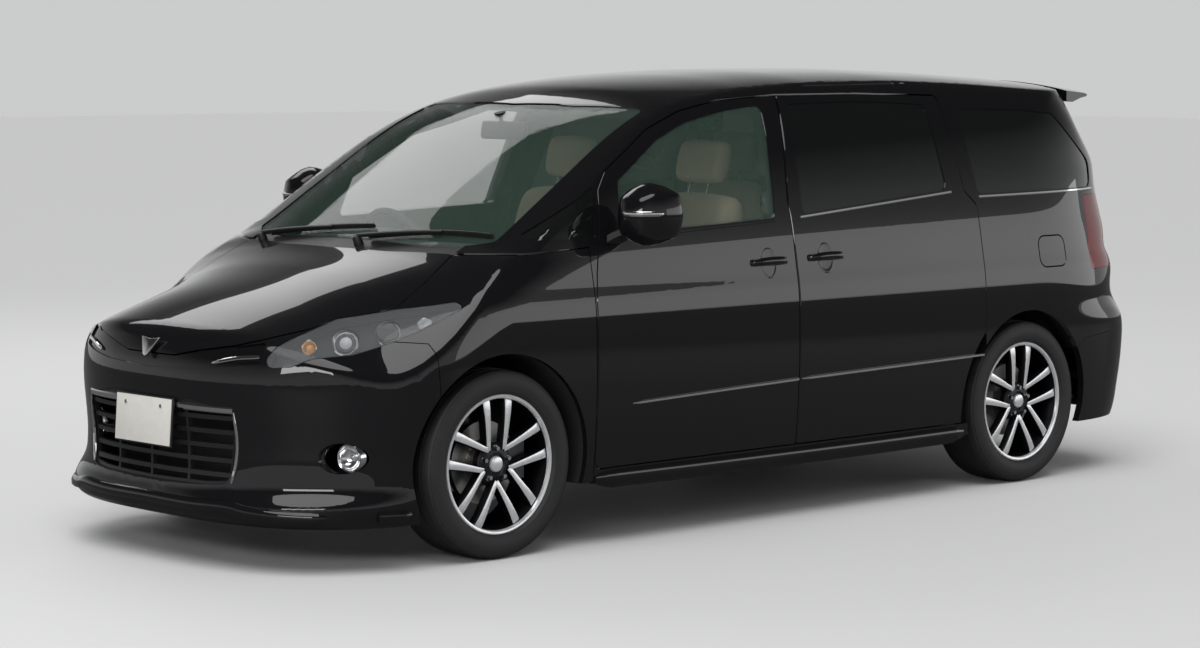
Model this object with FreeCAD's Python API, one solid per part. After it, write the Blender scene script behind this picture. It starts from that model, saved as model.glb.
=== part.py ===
import FreeCAD, Part
import math
import os
from FreeCAD import Vector, Rotation

# One-box minivan. Millimetres. Front faces -Y, the vehicle's left is +X, up is +Z.
# The origin is under the middle of the body, on the road.

# Overall sizes
body_length = 4814.0
body_width = 1810.0
body_height = 1738.0
skirt_bottom = 232.0

# Running gear
wheelbase = 2950.0
front_axle_y = -1492.0
tyre_radius = 341.0
tyre_width = 225.0
rim_radius = 252.0
rim_width = 196.0
rim_wall = 9.0
hub_bore = 27.0
wheel_centre_x = 768.0
disc_radius = 150.0
disc_thickness = 26.0
spoke_width = 24.0
spoke_depth = 26.0
spoke_pairs = 5
front_arch_radius = 398.0
rear_arch_radius = 388.0
arch_liner = 6.0
steer_cup_inner_x = 452.0
rear_cup_inner_x = 596.0

# Wall thicknesses, measured in from the outer skin
skin_wall = 22.0
door_wall = 62.0
door_clearance = 6.0
pillar_depth = 104.0
roof_wall = 30.0
rail_wall = 44.0
glass_inset = 4.0
glass_wall = 5.0
lamp_depth = 70.0
lens_wall = 4.0
flap_wall = 8.0
seam = 3.0
shut_gap = 6.0

# Places
tailgate_hinge_y = 2062.0
floor_bottom = 236.0
floor_top = 262.0
rear_floor_bottom = 400.0
rear_floor_top = 426.0
riser_y = 980.0
firewall_y = -1180.0
cowl_half_width = 600.0
fog_x = 742.0
fog_z = 405.0
fog_radius = 44.0
fog_ring = 10.0

# The styling curves are drawn for this body and stretched to the sizes above
drawn_length = 4814.0
drawn_width = 1810.0
drawn_height = 1738.0
stretch_x = body_width / drawn_width
stretch_y = body_length / drawn_length
stretch_z = body_height / drawn_height


def smooth(points):
    """Smooth curve through (place, value) points that never overshoots them."""
    places = [p[0] for p in points]
    values = [p[1] for p in points]
    count = len(points)
    steps = [(values[i + 1] - values[i]) / (places[i + 1] - places[i]) for i in range(count - 1)]
    slopes = [steps[0]]
    for i in range(1, count - 1):
        before = steps[i - 1]
        after = steps[i]
        slopes.append(0.0 if before * after <= 0 else 2 * before * after / (before + after))
    slopes.append(steps[-1])

    def curve(place):
        if place <= places[0]:
            return values[0] + slopes[0] * (place - places[0])
        if place >= places[-1]:
            return values[-1] + slopes[-1] * (place - places[-1])
        i = max(k for k in range(count - 1) if places[k] <= place)
        width = places[i + 1] - places[i]
        s = (place - places[i]) / width
        start = (2 * s ** 3 - 3 * s ** 2 + 1) * values[i] + (s ** 3 - 2 * s ** 2 + s) * width * slopes[i]
        end = (3 * s ** 2 - 2 * s ** 3) * values[i + 1] + (s ** 3 - s ** 2) * width * slopes[i + 1]
        return start + end

    return curve


# Styling curves along the body: height of the centre line, crown and roll-off at the shoulder
spine = smooth([(-2500, 740), (-2400, 795), (-2330, 831), (-2100, 920), (-1800, 1008), (-1560, 1078),
                (-1470, 1122), (-1340, 1202), (-1100, 1352), (-900, 1472), (-745, 1558), (-600, 1620),
                (-420, 1672), (-200, 1702), (0, 1718), (400, 1735), (800, 1738), (1200, 1730),
                (1700, 1708), (2100, 1682), (2400, 1655), (2600, 1630)])
crown = smooth([(-2500, 70), (-2016, 80), (-1775, 60), (-1560, 36), (-1470, 42), (-1340, 66),
                (-1100, 72), (-745, 62), (-420, 48), (0, 42), (1000, 40), (2400, 40)])
rolloff = smooth([(-2500, 80), (-2016, 85), (-1775, 58), (-1560, 26), (-1400, 8), (-1100, 6),
                  (-745, 12), (-300, 24), (0, 30), (2400, 32)])

# Styling curves by height: plan shape of the body side
half_width = smooth([(150, 858), (230, 880), (350, 893), (500, 902), (620, 905), (760, 903), (880, 898),
                     (960, 884), (1120, 856), (1250, 822), (1400, 772), (1550, 712), (1640, 668),
                     (1720, 610), (1900, 460)])
front_end = smooth([(150, -2330), (185, -2398), (230, -2404), (290, -2388), (420, -2388), (560, -2400),
                    (650, -2405), (720, -2392), (790, -2360), (850, -2320), (1000, -2260),
                    (1200, -2240), (1900, -2200)])
rear_end = smooth([(150, 2330), (260, 2375), (400, 2396), (560, 2407), (660, 2402), (720, 2368),
                   (850, 2362), (1000, 2358), (1120, 2348), (1200, 2325), (1300, 2275), (1450, 2195),
                   (1600, 2110), (1720, 2040), (1900, 1900)])
nose_start = smooth([(150, -1560), (700, -1560), (900, -1400), (1100, -900), (1900, -300)])
tail_start = smooth([(150, 1500), (700, 1500), (1200, 1300), (1900, 1200)])
nose_power = smooth([(150, 3.1), (230, 3.0), (300, 2.6), (420, 2.45), (1900, 2.4)])
tail_power = smooth([(150, 4.0), (650, 4.2), (760, 3.6), (1100, 3.6), (1300, 4.4), (1500, 6.0),
                     (1900, 6.2)])
skin_levels = [160, 200, 245, 320, 420, 530, 620, 690, 750, 830, 930, 1030, 1130, 1250, 1400, 1550, 1680,
               1790]
inner_levels = [160, 245, 420, 620, 830, 1030, 1250, 1400, 1550, 1680, 1790]
skin_steps = (8, 2, 9)
inner_steps = (5, 2, 6)
inner_from = 25.0


def top_height(x, y):
    reach = x / 700.0
    return spine(y) - crown(y) * reach ** 2 - rolloff(y) * reach ** 4


def plan_point(turn, z):
    """Point of the body side at a height, turn 0 at the nose, 1 at the tail."""
    wide = half_width(z)
    if turn < 0.4:
        angle = turn / 0.4 * math.pi / 2
        power = 2 / nose_power(z)
        x = wide * math.sin(angle) ** power
        y = nose_start(z) - (nose_start(z) - front_end(z)) * max(0.0, math.cos(angle)) ** power
        return x, y
    if turn <= 0.6:
        return wide, nose_start(z) + (tail_start(z) - nose_start(z)) * (turn - 0.4) / 0.2
    angle = (1 - turn) / 0.4 * math.pi / 2
    power = 2 / tail_power(z)
    x = wide * math.sin(max(0.0, angle)) ** power
    y = tail_start(z) + (rear_end(z) - tail_start(z)) * max(0.0, math.cos(angle)) ** power
    return x, y


def turns(steps):
    nose = [0.4 * i / steps[0] for i in range(steps[0])]
    side = [0.4 + 0.2 * i / steps[1] for i in range(steps[1])]
    tail = [0.6 + 0.4 * i / steps[2] for i in range(steps[2] + 1)]
    return nose + side + tail


def plan_contour(z, inset, steps):
    """Closed plan curve of the body side at one height, moved inwards by the inset."""
    half = [plan_point(turn, z) for turn in turns(steps)]
    left = [Vector(x * stretch_x, y * stretch_y, z * stretch_z) for x, y in half]
    ring = left + [Vector(-p.x, p.y, p.z) for p in reversed(left[1:-1])]
    count = len(ring)
    moved = []
    for i, point in enumerate(ring):
        along = ring[(i + 1) % count] - ring[i - 1]
        inward = Vector(-along.y, along.x, 0)
        inward.normalize()
        moved.append(point + inward * inset)
    return moved


def spaced_parameters(points):
    places = [0.0]
    for a, b in zip(points, points[1:] + points[:1]):
        places.append(places[-1] + (b - a).Length ** 0.5)
    return [place / places[-1] for place in places]


def side_solid(inset):
    """Everything inside the body side, moved inwards by the inset. Inner walls are drawn plainer."""
    levels = inner_levels if inset > inner_from else skin_levels
    steps = inner_steps if inset > inner_from else skin_steps
    guide = spaced_parameters(plan_contour(levels[len(levels) // 2], 0.0, steps))
    wires = []
    for z in levels:
        curve = Part.BSplineCurve()
        curve.interpolate(Points=plan_contour(z, inset, steps), PeriodicFlag=True, Parameters=guide)
        wires.append(Part.Wire([curve.toShape()]))
    return Part.makeLoft(wires, True, False)


def top_solid(inset):
    """Everything below the hood, windscreen and roof, moved inwards by the inset."""
    rows = []
    small = 1.0
    across = 6 if inset > inner_from else 10
    along = 26 if inset > inner_from else 38
    for x in [-1000 + 2000 * i / across for i in range(across + 1)]:
        row = []
        for y in [-2560 + 5120 * j / along for j in range(along + 1)]:
            z = top_height(x, y)
            slope_x = (top_height(x + small, y) - top_height(x - small, y)) / (2 * small)
            slope_y = (top_height(x, y + small) - top_height(x, y - small)) / (2 * small)
            normal = Vector(-slope_x, -slope_y, 1)
            normal.normalize()
            place = Vector(x * stretch_x, y * stretch_y, z * stretch_z)
            row.append(place - normal * inset)
        rows.append(row)
    surface = Part.BSplineSurface()
    surface.interpolate(rows)
    return surface.toShape().extrude(Vector(0, 0, -3000))


def body_layer(side_inset, top_inset):
    return side_solid(side_inset).common(top_solid(top_inset))


def box(x0, x1, y0, y1, z0, z1):
    return Part.makeBox(x1 - x0, y1 - y0, z1 - z0, Vector(x0, y0, z0))


def tube(start, end, radius, bore=0.0):
    """Round bar or tube between two points."""
    along = end - start
    bar = Part.makeCylinder(radius, along.Length, start, along)
    if bore:
        bar = bar.cut(Part.makeCylinder(bore, along.Length, start, along))
    return bar


def outline(points, place):
    """Closed outline through corner points (a, b, radius), each corner rounded by its radius."""
    count = len(points)
    edges = []
    ends = []
    for i in range(count):
        corner = place(points[i][0], points[i][1])
        radius = points[i][2] if len(points[i]) > 2 else 0.0
        before = place(points[i - 1][0], points[i - 1][1]) - corner
        after = place(points[(i + 1) % count][0], points[(i + 1) % count][1]) - corner
        reach_before = before.Length
        reach_after = after.Length
        before.normalize()
        after.normalize()
        half_angle = before.getAngle(after) / 2
        if radius <= 0.0 or abs(half_angle - math.pi / 2) < 0.01:
            ends.append((corner, corner, None))
            continue
        cut = min(radius / math.tan(half_angle), 0.48 * reach_before, 0.48 * reach_after)
        radius = cut * math.tan(half_angle)
        middle = before + after
        middle.normalize()
        centre = corner + middle * (radius / math.sin(half_angle))
        ends.append((corner + before * cut, corner + after * cut, centre - middle * radius))
    for i in range(count):
        start, end, mid = ends[i]
        if mid is not None:
            edges.append(Part.Arc(start, mid, end).toShape())
        following = ends[(i + 1) % count][0]
        if (following - end).Length > 0.01:
            edges.append(Part.makeLine(end, following))
    return Part.Wire(edges)


def side_prism(points, x0=0.0, x1=1200.0, grow=0.0):
    """Side-view outline of (y, z, radius) corners drawn across from x0 to x1."""
    wire = outline(points, lambda a, b: Vector(x0, a * stretch_y, b * stretch_z))
    return grown_face(wire, grow).extrude(Vector(x1 - x0, 0, 0))


def plan_prism(points, z0=100.0, z1=2000.0, grow=0.0):
    wire = outline(points, lambda a, b: Vector(a * stretch_x, b * stretch_y, z0))
    return grown_face(wire, grow).extrude(Vector(0, 0, z1 - z0))


def end_prism(points, y0, y1, grow=0.0):
    """End-view outline of (x, z, radius) corners drawn along from y0 to y1."""
    wire = outline(points, lambda a, b: Vector(a * stretch_x, y0, b * stretch_z))
    return grown_face(wire, grow).extrude(Vector(0, y1 - y0, 0))


def grown_face(wire, grow):
    face = Part.Face(wire)
    if grow:
        face = Part.Face(face.makeOffset2D(grow, 2).Wires[0])
    return face


def mirrored(shape):
    return shape.mirror(Vector(0, 0, 0), Vector(1, 0, 0))


def both_sides(points):
    """Adds the mirrored half to (x, b, radius) points given from one centre end to the other."""
    return points + [(-p[0], *p[1:]) for p in reversed(points) if p[0] > 0]


def solids_of(shape, least=3000.0):
    """The real solids of a result, without crumbs."""
    good = [s for s in shape.Solids if s.Volume > least]
    return Part.makeCompound(good)


# Outlines in side view: (y, z, corner radius)
front_door_line = [(-1046, 285, 30), (-1046, 900), (-1030, 1000), (-955, 1300, 30), (-900, 1366, 20),
                   (-640, 1514), (-440, 1580), (-220, 1618, 60), (131, 1638, 12), (35, 1233, 30),
                   (30, 285, 12)]
sliding_door_line = [(36, 285, 12), (41, 1233, 30), (137, 1638, 12), (600, 1640), (1098, 1628, 30),
                     (1106, 1236, 30), (1166, 1180, 25), (1166, 285, 20)]
door_meeting_line = [(20, 282), (46, 282), (54, 1233), (150, 1641), (118, 1641), (22, 1233)]
front_glass_line = [(-894, 1136, 20), (-846, 1330, 20), (-601, 1475, 60), (-418, 1540, 60),
                    (-212, 1577, 60), (24, 1600, 25), (-53, 1166, 25)]
sliding_glass_line = [(106, 1176, 25), (171, 1602, 25), (600, 1610), (1000, 1592, 30), (1000, 1246, 40)]
quarter_glass_line = [(1191, 1222, 30), (1191, 1575, 30), (1560, 1566), (1828, 1548, 60), (2035, 1340, 60),
                      (2030, 1230, 40)]
corner_glass_line = [(-1326, 1126, 12), (-1014, 1130, 14), (-966, 1322, 14)]
front_aperture_line = [(-985, 335, 60), (-985, 1000), (-900, 1290, 30), (-620, 1462, 60), (-210, 1560, 60),
                       (70, 1575, 30), (-20, 1200), (-25, 335, 60)]
sliding_aperture_line = [(95, 335, 60), (100, 1200), (185, 1582, 30), (1045, 1568, 40), (1045, 1200),
                         (1090, 1160), (1090, 800), (985, 600, 80), (950, 335, 40)]
body_side_region = [(-1052, 200), (-1052, 1098), (-1475, 1082), (-1475, 1900), (2500, 1900), (2500, 645),
                    (1830, 590), (1750, 500), (1750, 200)]
fender_region = [(-1055, 236, 10), (-1055, 1095), (-1520, 1072), (-1640, 1100), (-2100, 1100),
                 (-1930, 800), (-1800, 790), (-1788, 614), (-1788, 236)]
rear_bumper_region = [(1750, 225), (1750, 500), (1830, 590), (2500, 645), (2500, 225)]
fuel_flap_line = [(1536, 905, 40), (1536, 1035, 40), (1716, 1035, 40), (1716, 905, 40)]

# Outlines in plan view: (x, y, radius)
windscreen_line = both_sides([(0, -1476), (400, -1468, 200), (612, -1420, 120), (688, -1360, 30),
                              (668, -1060), (641, -714), (626, -540, 40), (320, -625, 300), (0, -655)])
hood_line = both_sides([(0, -1561), (300, -1548, 400), (470, -1512, 200), (600, -1480, 20), (640, -1640),
                        (657, -1800), (560, -2000), (520, -2250), (500, -2500), (0, -2500)])
roof_line = both_sides([(0, -648), (320, -618, 300), (622, -533, 30), (640, -200), (646, 200), (640, 1100),
                        (620, 2056), (0, 2056)])

# Outlines in end view: (x, z, radius)
hood_front_line = both_sides([(0, 738), (140, 738, 60), (262, 763), (404, 785), (483, 806), (540, 835),
                              (700, 840), (800, 1300), (0, 1300)])
tailgate_line = both_sides([(0, 668), (640, 672, 60), (712, 880, 40), (640, 1196), (620, 1500),
                            (600, 1760), (0, 1760)])
rear_glass_line = both_sides([(0, 1196), (585, 1206, 40), (535, 1500, 60), (0, 1530)])
upper_grille_line = both_sides([(0, 690), (260, 700, 30), (430, 716), (522, 730, 10), (512, 800, 10),
                                (404, 782), (262, 760), (140, 735, 60), (0, 735)])
lower_grille_line = both_sides([(0, 292), (300, 296), (405, 304, 30), (438, 560, 30), (250, 590), (0, 604)])
tail_lamp_line = [(1900, 880, 20), (1930, 1195, 20), (2500, 1205), (2500, 880)]

# The headlamp is drawn on a plane that faces forward, outward and up
lamp_facing = Vector(0.55, -0.62, 0.56)
lamp_corners = [Vector(518, -2300, 712), Vector(553, -2187, 808), Vector(561, -1985, 870),
                Vector(666, -1800, 901), Vector(800, -1640, 921), Vector(842, -1640, 906),
                Vector(779, -1817, 825), Vector(718, -2046, 759), Vector(617, -2233, 722)]


def lamp_prism(grow):
    """Block that cuts the headlamp's outline out of the skin."""
    facing = Vector(lamp_facing)
    facing.normalize()
    across = Vector(0, 0, 1).cross(facing)
    across.normalize()
    upward = facing.cross(across)
    start = facing * 900
    flat = []
    for corner in lamp_corners:
        place = Vector(corner.x * stretch_x, corner.y * stretch_y, corner.z * stretch_z)
        flat.append((place.dot(across), place.dot(upward), 25.0))
    wire = outline(flat, lambda a, b: start + across * a + upward * b)
    return grown_face(wire, grow).extrude(facing * 1700)


# Body layers
outer = body_layer(0.0, 0.0)
under_skin = body_layer(skin_wall, skin_wall)
under_door = body_layer(door_wall, roof_wall)
door_back = body_layer(door_wall + door_clearance, roof_wall)
under_pillar = body_layer(pillar_depth, rail_wall)
under_roof = body_layer(roof_wall, roof_wall)
under_trim = body_layer(flap_wall, flap_wall)
lamp_seat = body_layer(40.0, 40.0)
flap_pocket = body_layer(60.0, 60.0)
glass_outer = body_layer(glass_inset, glass_inset)
glass_inner = body_layer(glass_inset + glass_wall, glass_inset + glass_wall)
lamp_back = body_layer(lamp_depth, lamp_depth)
lens_back = body_layer(lens_wall, lens_wall)
left_half = box(0, 1300, -2600, 2600, 0, 2100)
cowl_space = box(-cowl_half_width, cowl_half_width, -1600, -1400, 900, 2100)
thin_skin = outer.common(box(-1300, 1300, -2600, -1000, 0, 1300)).cut(under_skin)
thin_left = thin_skin.common(left_half)
outer_left = outer.common(left_half)
glass_left = glass_outer.common(left_half).cut(glass_inner)

rear_axle_y = front_axle_y + wheelbase
axle_height = tyre_radius


def arch_cut(axle_y, radius, x0, x1):
    return Part.makeCylinder(radius, x1 - x0, Vector(x0, axle_y, axle_height), Vector(1, 0, 0))


front_arch = arch_cut(front_axle_y, front_arch_radius, 500, 1100)
rear_arch = arch_cut(rear_axle_y, rear_arch_radius, 500, 1100)

roof_space = plan_prism(roof_line, 1200, 2100, grow=shut_gap / 2 + 1)

parts = {}


def hood():
    region = plan_prism(hood_line, grow=-shut_gap / 2)
    region = region.common(end_prism(hood_front_line, -2600, -1400, grow=-shut_gap / 2))
    lamps = lamp_prism(shut_gap - 1.0)
    return thin_skin.common(region.cut([lamps, mirrored(lamps)]))


def fender():
    region = side_prism(fender_region, 300, 1200, grow=-seam / 2)
    hood_space = plan_prism(hood_line, 700, 2000, grow=shut_gap / 2)
    region = region.cut([hood_space, lamp_prism(seam), front_arch, cowl_space])
    return thin_left.common(region)


def front_bumper():
    hood_opening = plan_prism(hood_line, 600, 2000, grow=shut_gap / 2)
    lamp = lamp_prism(seam)
    fog = tube(Vector(fog_x, -2400, fog_z), Vector(fog_x, -1900, fog_z), fog_radius + fog_ring)
    openings = [side_prism(fender_region, -1300, 1300, grow=seam / 2),
                hood_opening.common(end_prism(hood_front_line, -2700, -1400, grow=shut_gap / 2)),
                end_prism(upper_grille_line, -2600, -2100), end_prism(lower_grille_line, -2600, -2100),
                lamp, mirrored(lamp), fog, mirrored(fog), front_arch, mirrored(front_arch)]
    region = box(-1200, 1200, -2600, -1786 * stretch_y, 160, 1300).cut(openings)
    return thin_skin.common(region)


def fog_lamps():
    """Round lamps behind the bumper skin, one each side."""
    depth = 60.0
    front_y = -2140.0
    lamp = tube(Vector(fog_x, front_y, fog_z), Vector(fog_x, front_y + depth, fog_z), fog_radius)
    ring = tube(Vector(fog_x, -2300, fog_z), Vector(fog_x, front_y + depth, fog_z),
                fog_radius + fog_ring, fog_radius)
    lamp = lamp.fuse(ring.common(glass_outer))
    return Part.makeCompound([lamp, mirrored(lamp)])


def upper_grille():
    mouth = end_prism(upper_grille_line, -2600, -2150)
    return under_trim.common(mouth).cut(under_skin)


def lower_grille():
    """Slats and uprights across the bumper's mouth, held by a frame."""
    slat_count = 6
    slat_height = 16.0
    low = 300.0
    high = 600.0
    mouth = end_prism(lower_grille_line, -2600, -2100)
    frame = mouth.cut(end_prism(lower_grille_line, -2700, -2000, grow=-10.0))
    bars = [box(x - 6, x + 6, -2600, -2100, 200, 700) for x in (-210, 0, 210)]
    for i in range(slat_count):
        z = low + (high - low) * (i + 0.5) / slat_count
        bars.append(box(-600, 600, -2600, -2100, z * stretch_z, z * stretch_z + slat_height))
    pattern = frame.fuse(mouth.common(Part.makeCompound(bars)))
    return under_trim.common(pattern).cut(under_roof)


def headlamp_lens():
    return outer_left.common(lamp_prism(0.0)).cut(lens_back)


def headlamp_unit():
    block = lens_back.common(lamp_prism(0.0)).cut(lamp_back)
    flange = lamp_prism(seam + 6.0).cut(plan_prism(hood_line, 600, 1300, grow=shut_gap))
    block = block.fuse(under_skin.common(flange).cut(lamp_back))
    bowl = lamp_prism(-6.0).cut(flap_pocket)
    barrels = []
    for centre in (Vector(640, -2010, 800), Vector(700, -1870, 835)):
        back = centre + Vector(-0.55, 0.62, -0.35) * 70
        barrels.append(tube(back, centre, 40.0))
    barrels = under_trim.common(barrels[0].fuse(barrels[1]))
    return block.cut(bowl).fuse(barrels)


def windscreen():
    return glass_outer.common(plan_prism(windscreen_line, 1050, 1900)).cut(glass_inner)


def roof():
    panel = outer.common(plan_prism(roof_line, 1200, 2000, grow=-seam / 2)).cut(under_roof)
    return solids_of(panel)


def door_cut():
    """What both doors and their shut gaps take out of the body side."""
    slot = side_prism(front_door_line, 200, 1300, grow=shut_gap / 2)
    between = side_prism(door_meeting_line, 200, 1300)
    slot = slot.fuse([side_prism(sliding_door_line, 200, 1300, grow=shut_gap / 2), between])
    return slot.cut(door_back)


def body_side():
    """Pillars, roof rail, sill, hinge post and rear quarter of the left side."""
    wall = outer_left.common(box(250, 1300, -2600, 2600, skirt_bottom, 2000)).cut(under_pillar)
    region = side_prism(body_side_region, 250, 1300)
    tailgate_space = end_prism(tailgate_line, 1850, 2700, grow=shut_gap / 2)
    spoiler_space = box(0, 700, tailgate_hinge_y * stretch_y, 2700, 1560, 2100)
    flap_space = side_prism(fuel_flap_line, 500, 1300, grow=shut_gap / 2).cut(flap_pocket)
    openings = [plan_prism(roof_line, 1200, 2100, grow=seam / 2), plan_prism(windscreen_line, 1000, 2100),
                side_prism(front_aperture_line, 200, 1300), side_prism(sliding_aperture_line, 200, 1300),
                side_prism(quarter_glass_line, 200, 1300), side_prism(corner_glass_line, 200, 1300),
                side_prism(tail_lamp_line, 200, 1300).cut(lamp_seat), door_cut(), tailgate_space,
                spoiler_space, flap_space, rear_arch, cowl_space]
    buffer_end = half_width(960) * stretch_x - flap_wall - 4.4
    buffer = tube(Vector(buffer_end - 60, 1680, 960), Vector(buffer_end, 1680, 960), 7.0)
    return solids_of(wall.common(region).cut(openings).fuse(buffer))


def front_door():
    region = side_prism(front_door_line, 200, 1300, grow=-shut_gap / 2)
    region = region.cut([side_prism(front_glass_line, 100, 1400), roof_space])
    return outer_left.common(region).cut(under_door)


def sliding_door():
    region = side_prism(sliding_door_line, 200, 1300, grow=-shut_gap / 2)
    region = region.cut([side_prism(sliding_glass_line, 100, 1400), roof_space,
                         arch_cut(rear_axle_y, rear_arch_radius + 42, 100, 1400)])
    return outer_left.common(region).cut(under_door)


def side_pane(line):
    return glass_left.common(side_prism(line, 200, 1300))


def tailgate():
    region = end_prism(tailgate_line, tailgate_hinge_y * stretch_y, 2700, grow=-shut_gap / 2)
    region = region.cut(end_prism(rear_glass_line, 1900, 2800))
    return outer.common(region).cut(under_door)


def tailgate_glass():
    pane = glass_outer.common(end_prism(rear_glass_line, 2075, 2700)).cut(glass_inner)
    return solids_of(pane, 100)


def tail_lamp():
    region = side_prism(tail_lamp_line, 200, 1300, grow=-seam / 2)
    region = region.cut(end_prism(tailgate_line, 1850, 2700, grow=shut_gap / 2))
    return outer_left.common(region).cut(lamp_seat)


def rear_bumper():
    region = side_prism(rear_bumper_region, -1300, 1300, grow=-seam / 2)
    region = region.cut([rear_arch, mirrored(rear_arch)])
    return outer.common(region).cut(under_roof)


def wheel_cup(axle_y, radius, inner_x):
    """Wheelhouse over one left wheel, with its inner wall."""
    cup = arch_cut(axle_y, radius + arch_liner, inner_x - arch_liner, 900)
    cup = cup.cut(arch_cut(axle_y, radius, inner_x, 900))
    return cup.cut(box(-1000, 1000, -2600, 2600, 0, floor_bottom))


def underbody():
    """Floor, wheelhouses, bulkhead and rear panel, all of one pressing."""
    floor = box(-850, 850, firewall_y, riser_y, floor_bottom, floor_top)
    riser = box(-850, 850, riser_y, riser_y + 20, floor_bottom, rear_floor_top)
    rear_floor = box(-850, 850, riser_y, 2290, rear_floor_bottom, rear_floor_top)
    sill_lip = box(-249.6, 249.6, 2270, 2346, 654, 670.6)
    front_panel = box(-460, 460, -2180, -2150, floor_bottom, 1000).common(under_skin)
    front_tray = box(-440, 440, -2250, firewall_y, floor_bottom, floor_bottom + 12)
    firewall = box(-790, 790, firewall_y, firewall_y + 20, floor_bottom, 980)
    rear_panel = box(-700, 700, 2270, 2290, 300, 670.6)
    raw = floor.fuse([firewall, rear_panel, front_tray, riser, rear_floor])
    for axle_y, radius, inner_x in ((front_axle_y, front_arch_radius, steer_cup_inner_x),
                                    (rear_axle_y, rear_arch_radius, rear_cup_inner_x)):
        space = arch_cut(axle_y, radius, inner_x, 1000)
        cup = wheel_cup(axle_y, radius, inner_x)
        raw = raw.cut(space).cut(mirrored(space)).fuse([cup, mirrored(cup)])
    stub_hole = arch_cut(rear_axle_y, hub_bore + 5, rear_cup_inner_x - 20, rear_cup_inner_x + 20)
    raw = raw.cut([stub_hole, mirrored(stub_hole)])
    front_part = raw.common(under_skin).common(box(-1200, 1200, -2600, -1056 * stretch_y, 0, 2000))
    rear_part = raw.common(under_pillar).common(box(-1200, 1200, -1056 * stretch_y, 2600, 0, 2000))
    load_pad = box(-300, 300, 2120, 2230, rear_floor_top - 1, rear_floor_top + 6)
    jack_pad = box(560, 640, -840, -760, floor_bottom - 12, floor_bottom + 1)
    return front_part.fuse([rear_part, front_panel, sill_lip, load_pad, jack_pad, mirrored(jack_pad)])


def tyre(side, axle_y):
    """Tyre with rounded shoulders, turned about its axle."""
    half = tyre_width / 2
    shoulder = 22.0
    inner = rim_radius
    points = [Vector(-half + 14, 0, inner), Vector(-half, 0, inner + 40), Vector(-half, 0, tyre_radius - 36),
              Vector(-half + shoulder, 0, tyre_radius - 4), Vector(0, 0, tyre_radius)]
    profile = points + [Vector(-p.x, 0, p.z) for p in reversed(points[:-1])]
    edges = [Part.makeLine(a, b) for a, b in zip(profile, profile[1:] + profile[:1])]
    ring = Part.Face(Part.Wire(edges)).revolve(Vector(0, 0, 0), Vector(1, 0, 0), 360)
    ring.translate(Vector(side * wheel_centre_x, axle_y, axle_height))
    return ring


def wheel(side, axle_y):
    """Alloy wheel with five pairs of spokes and its brake disc."""
    half = rim_width / 2
    face_x = half - 6
    barrel = tube(Vector(-half, 0, 0), Vector(half, 0, 0), rim_radius - 0.3, rim_radius - rim_wall)
    hub = tube(Vector(face_x - 60, 0, 0), Vector(face_x - 8, 0, 0), 72.0, hub_bore)
    shape = barrel.fuse(hub)
    for i in range(spoke_pairs):
        angle = math.radians(90 + 360.0 / spoke_pairs * i)
        for offset in (-37.0, 37.0):
            outline_points = [Vector(0, offset - spoke_width / 2, 40),
                              Vector(0, offset + spoke_width / 2, 40),
                              Vector(0, offset * 1.45 + spoke_width * 0.7, rim_radius - 11),
                              Vector(0, offset * 1.45 - spoke_width * 0.7, rim_radius - 11)]
            wire = Part.makePolygon(outline_points + outline_points[:1])
            spoke = Part.Face(wire).extrude(Vector(spoke_depth, 0, 0))
            spoke.translate(Vector(face_x - spoke_depth, 0, 0))
            spoke.rotate(Vector(0, 0, 0), Vector(1, 0, 0), math.degrees(angle) - 90)
            shape = shape.fuse(spoke)
    disc_x = -20.0
    disc = tube(Vector(disc_x, 0, 0), Vector(disc_x + disc_thickness, 0, 0), disc_radius, hub_bore)
    bell = tube(Vector(disc_x, 0, 0), Vector(face_x - 55, 0, 0), 78.0, hub_bore + 20)
    shape = shape.fuse(disc).fuse(bell)
    shape = shape.cut(tube(Vector(-half - 5, 0, 0), Vector(half + 5, 0, 0), hub_bore))
    if side < 0:
        shape = mirrored(shape)
    shape.translate(Vector(side * wheel_centre_x, axle_y, axle_height))
    return shape


kingpin_low = Vector(706, front_axle_y, 214)
kingpin_high = Vector(612, front_axle_y, 716)


def knuckle():
    """Left front upright with its stub axle, brake caliper and damper."""
    stub = tube(Vector(640, front_axle_y, axle_height),
                Vector(wheel_centre_x + 70, front_axle_y, axle_height), hub_bore - 1.0)
    carrier = tube(Vector(655, front_axle_y, axle_height), Vector(690, front_axle_y, axle_height), 62.0)
    along = kingpin_high - kingpin_low
    along.normalize()
    low_arm = tube(kingpin_low, Vector(672, front_axle_y, 330), 24.0)
    damper = tube(kingpin_low + along * 178, kingpin_low + along * 300, 32.0)
    rod = tube(kingpin_low + along * 298, kingpin_high, 13.0)
    seat = tube(kingpin_low + along * 486, kingpin_low + along * 494, 38.0)
    caliper = box(wheel_centre_x - 75, wheel_centre_x + 28, front_axle_y + 88, front_axle_y + 178,
                  axle_height - 70, axle_height + 70)
    slot = arch_cut(front_axle_y, disc_radius + 8, wheel_centre_x - 28, wheel_centre_x + 16)
    caliper = caliper.cut(slot).common(arch_cut(front_axle_y, 205, 500, 900))
    bracket = box(660, 700, front_axle_y + 20, front_axle_y + 110, axle_height - 30, axle_height + 30)
    return stub.fuse([carrier, low_arm, damper, rod, seat, caliper, bracket])


def front_subframe():
    """Cross member with a lower arm to each wheel and the strut mounts' pads."""
    beam = box(-400, 400, front_axle_y - 20, front_axle_y + 90, 196, floor_bottom)
    shape = beam
    for side in (1, -1):
        arm = tube(Vector(side * 340, front_axle_y + 30, 214), Vector(side * 676, front_axle_y, 196), 17.0)
        shape = shape.fuse(arm)
    return shape


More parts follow.
